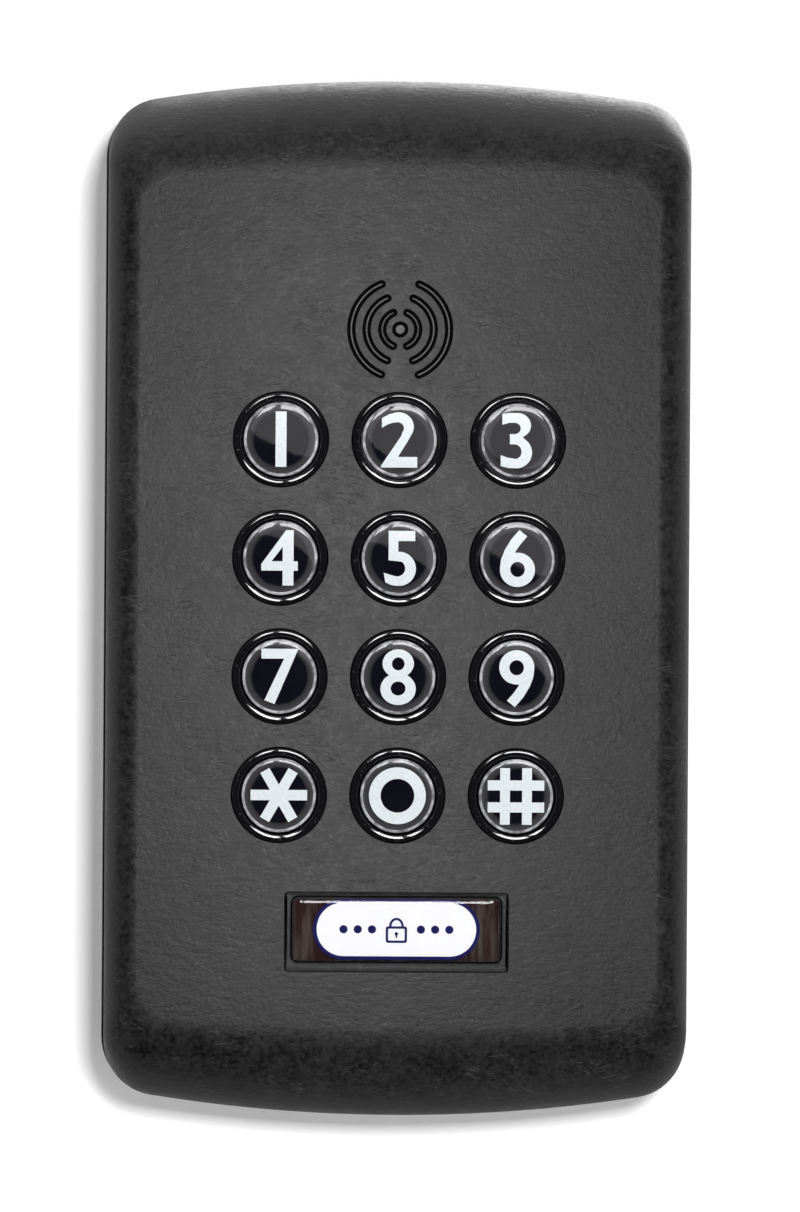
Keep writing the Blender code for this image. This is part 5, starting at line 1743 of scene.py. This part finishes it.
class READER_OT_studio(bpy.types.Operator):
    """Makes the wall, the floor, the lights and the camera"""

    bl_idname = "access_reader.studio"
    bl_label = "Studio"
    bl_options = {"REGISTER", "UNDO"}

    def execute(self, context):
        scene = context.scene
        stage = scene.reader_stage
        scene.view_settings.view_transform = "Standard"
        upright = Matrix.Translation((0.0, WALL_BEHIND, 0.0)) @ Matrix.Rotation(math.pi / 2, 4, "X")
        wall = add_sheet("wall", 0.6, upright, backdrop_material("wall_paint", PALE, True))
        wall.visible_glossy = False
        level = Matrix.Translation((0.0, 0.0, stage.floor))
        floor = add_sheet("floor", 3.0, level, backdrop_material("floor_paint", PALE, False))
        floor.visible_glossy = False
        self.add_world(scene, stage)
        self.add_lights(stage)
        self.add_camera(scene, stage)
        return {"FINISHED"}

    def add_world(self, scene, stage):
        """Soft surroundings: pale to the camera, and to gloss dark in front and pale behind."""
        world = bpy.data.worlds.new("studio")
        world.use_nodes = True
        tree = world.node_tree
        ground = tree.nodes["Background"]
        split = tree.nodes.new("ShaderNodeSeparateXYZ")
        tree.links.new(tree.nodes.new("ShaderNodeTexCoord").outputs["Generated"], split.inputs[0])
        depth, height = Wire(tree, split.outputs["Y"]), Wire(tree, split.outputs["Z"])
        rays = tree.nodes.new("ShaderNodeLightPath")
        seen, gloss = Wire(tree, rays.outputs["Is Camera Ray"]), Wire(tree, rays.outputs["Is Glossy Ray"])
        matt_level = (height * 0.35 + 0.65) * stage.sky
        behind = (depth * 2.0 + 0.75).limited()
        gloss_level = behind * 0.42 + (height * 1.2 - 0.5).limited() * 0.6 + 0.03
        low = (height * -1.0).limited()
        level = matt_level * (1 - gloss) + gloss_level * (1 - low * 0.55) * gloss
        strength = level * (1 - seen) + seen * 0.95
        ground.inputs["Color"].default_value = (1.0, 1.0, 1.0, 1.0)
        tree.links.new(strength.socket, ground.inputs["Strength"])
        scene.world = world

    def add_lights(self, stage):
        """The key light, what the satin case and the gloss parts mirror, and a light for the rear."""
        across, up = (KEY_DISTANCE * math.tan(lean) for lean in KEY_LEAN)
        spread = KEY_SIDE**2 / KEY_DISTANCE**2
        radiance = stage.key_light * math.pi / spread
        key_size = (KEY_SIDE, KEY_SIDE)
        area_light("key", (across, -KEY_DISTANCE, up), FACE_CENTRE, key_size, radiance, glossy=False)
        self.add_panel("softbox", SOFTBOX, SATIN_PIECES)
        card = self.add_panel("card", CARD, KEY_PIECES)
        card.rotation_euler.rotate_axis("Z", CARD["turn"])
        for name, (across, width) in STRIPS.items():
            ahead, above = STRIP_DISTANCE * math.cos(STRIP_UP), STRIP_DISTANCE * math.sin(STRIP_UP)
            place, aim = (across, FACE_CENTRE[1] - ahead, above), (across * 0.5, FACE_CENTRE[1], 0.0)
            strip = area_light(name, place, aim, (width, STRIP_HEIGHT), STRIP_RADIANCE, diffuse=False)
            shine_on(strip, (*KEY_PIECES, *RING_PIECES))
        area_light("rear_fill", REAR_FILL["place"], FACE_CENTRE, REAR_FILL["size"], REAR_FILL["radiance"])

    def add_panel(self, name, panel, pieces):
        """A light that faces the wall squarely and shows only in the gloss of the named pieces."""
        ahead = (panel["place"][0], 0.0, panel["place"][2])
        light = area_light(name, panel["place"], ahead, panel["size"], panel["radiance"], diffuse=False)
        shine_on(light, pieces)
        return light

    def add_camera(self, scene, stage):
        camera = bpy.data.cameras.new("camera")
        camera.sensor_width = 36.0
        camera.lens = camera.sensor_width * stage.distance / stage.frame_height
        camera.clip_end = 50.0
        obj = bpy.data.objects.new("camera", camera)
        scene.collection.objects.link(obj)
        aim = Vector(CAMERA_AIM)
        away = Vector((-math.sin(stage.turn), -math.cos(stage.turn), 0.0))
        upright = away.to_track_quat("Z", "Y")
        obj.matrix_world = (
            Matrix.Translation(aim + away * stage.distance)
            @ upright.to_matrix().to_4x4()
            @ Matrix.Rotation(stage.roll, 4, "Z")
        )
        scene.camera = obj


# ---------------------------------------------------------------- add-on


class READER_PT_panel(bpy.types.Panel):
    """Lists the reader's pieces and their settings"""

    bl_label = "Keypad access reader"
    bl_idname = "READER_PT_panel"
    bl_space_type = "VIEW_3D"
    bl_region_type = "UI"
    bl_category = "Reader"

    def draw(self, context):
        for group in SETTINGS:
            box_area = self.layout.box()
            settings = getattr(context.scene, group)
            for name in settings.bl_rna.properties.keys():
                if name not in ("rna_type", "name"):
                    box_area.prop(settings, name)
        for maker in MAKERS:
            self.layout.operator(maker.bl_idname)


MAKERS = (
    READER_OT_front_cover,
    READER_OT_rear_housing,
    READER_OT_key_guide_frame,
    READER_OT_key_caps,
    READER_OT_key_legends,
    READER_OT_keymat,
    READER_OT_badge,
    READER_OT_screws,
    READER_OT_wall_plate,
    READER_OT_grommet,
    READER_OT_tamper,
    READER_OT_electronics,
    READER_OT_studio,
)
SETTINGS = {
    "reader_case": ReaderCaseSettings,
    "reader_keys": ReaderKeySettings,
    "reader_badge": ReaderBadgeSettings,
    "reader_stage": ReaderStageSettings,
}


def register():
    for cls in (*SETTINGS.values(), *MAKERS, READER_PT_panel):
        bpy.utils.register_class(cls)
    for name, cls in SETTINGS.items():
        setattr(bpy.types.Scene, name, PointerProperty(type=cls))


def unregister():
    for name in SETTINGS:
        delattr(bpy.types.Scene, name)
    for cls in reversed((*SETTINGS.values(), *MAKERS, READER_PT_panel)):
        bpy.utils.unregister_class(cls)


def main():
    register()
    bpy.ops.access_reader.front_cover()
    bpy.ops.access_reader.rear_housing()
    bpy.ops.access_reader.key_guide_frame()
    bpy.ops.access_reader.key_caps()
    bpy.ops.access_reader.key_legends()
    bpy.ops.access_reader.keymat()
    bpy.ops.access_reader.badge()
    bpy.ops.access_reader.screws()
    bpy.ops.access_reader.wall_plate()
    bpy.ops.access_reader.grommet()
    bpy.ops.access_reader.tamper()
    bpy.ops.access_reader.electronics()
    bpy.ops.access_reader.studio()


if __name__ == "__main__":
    main()
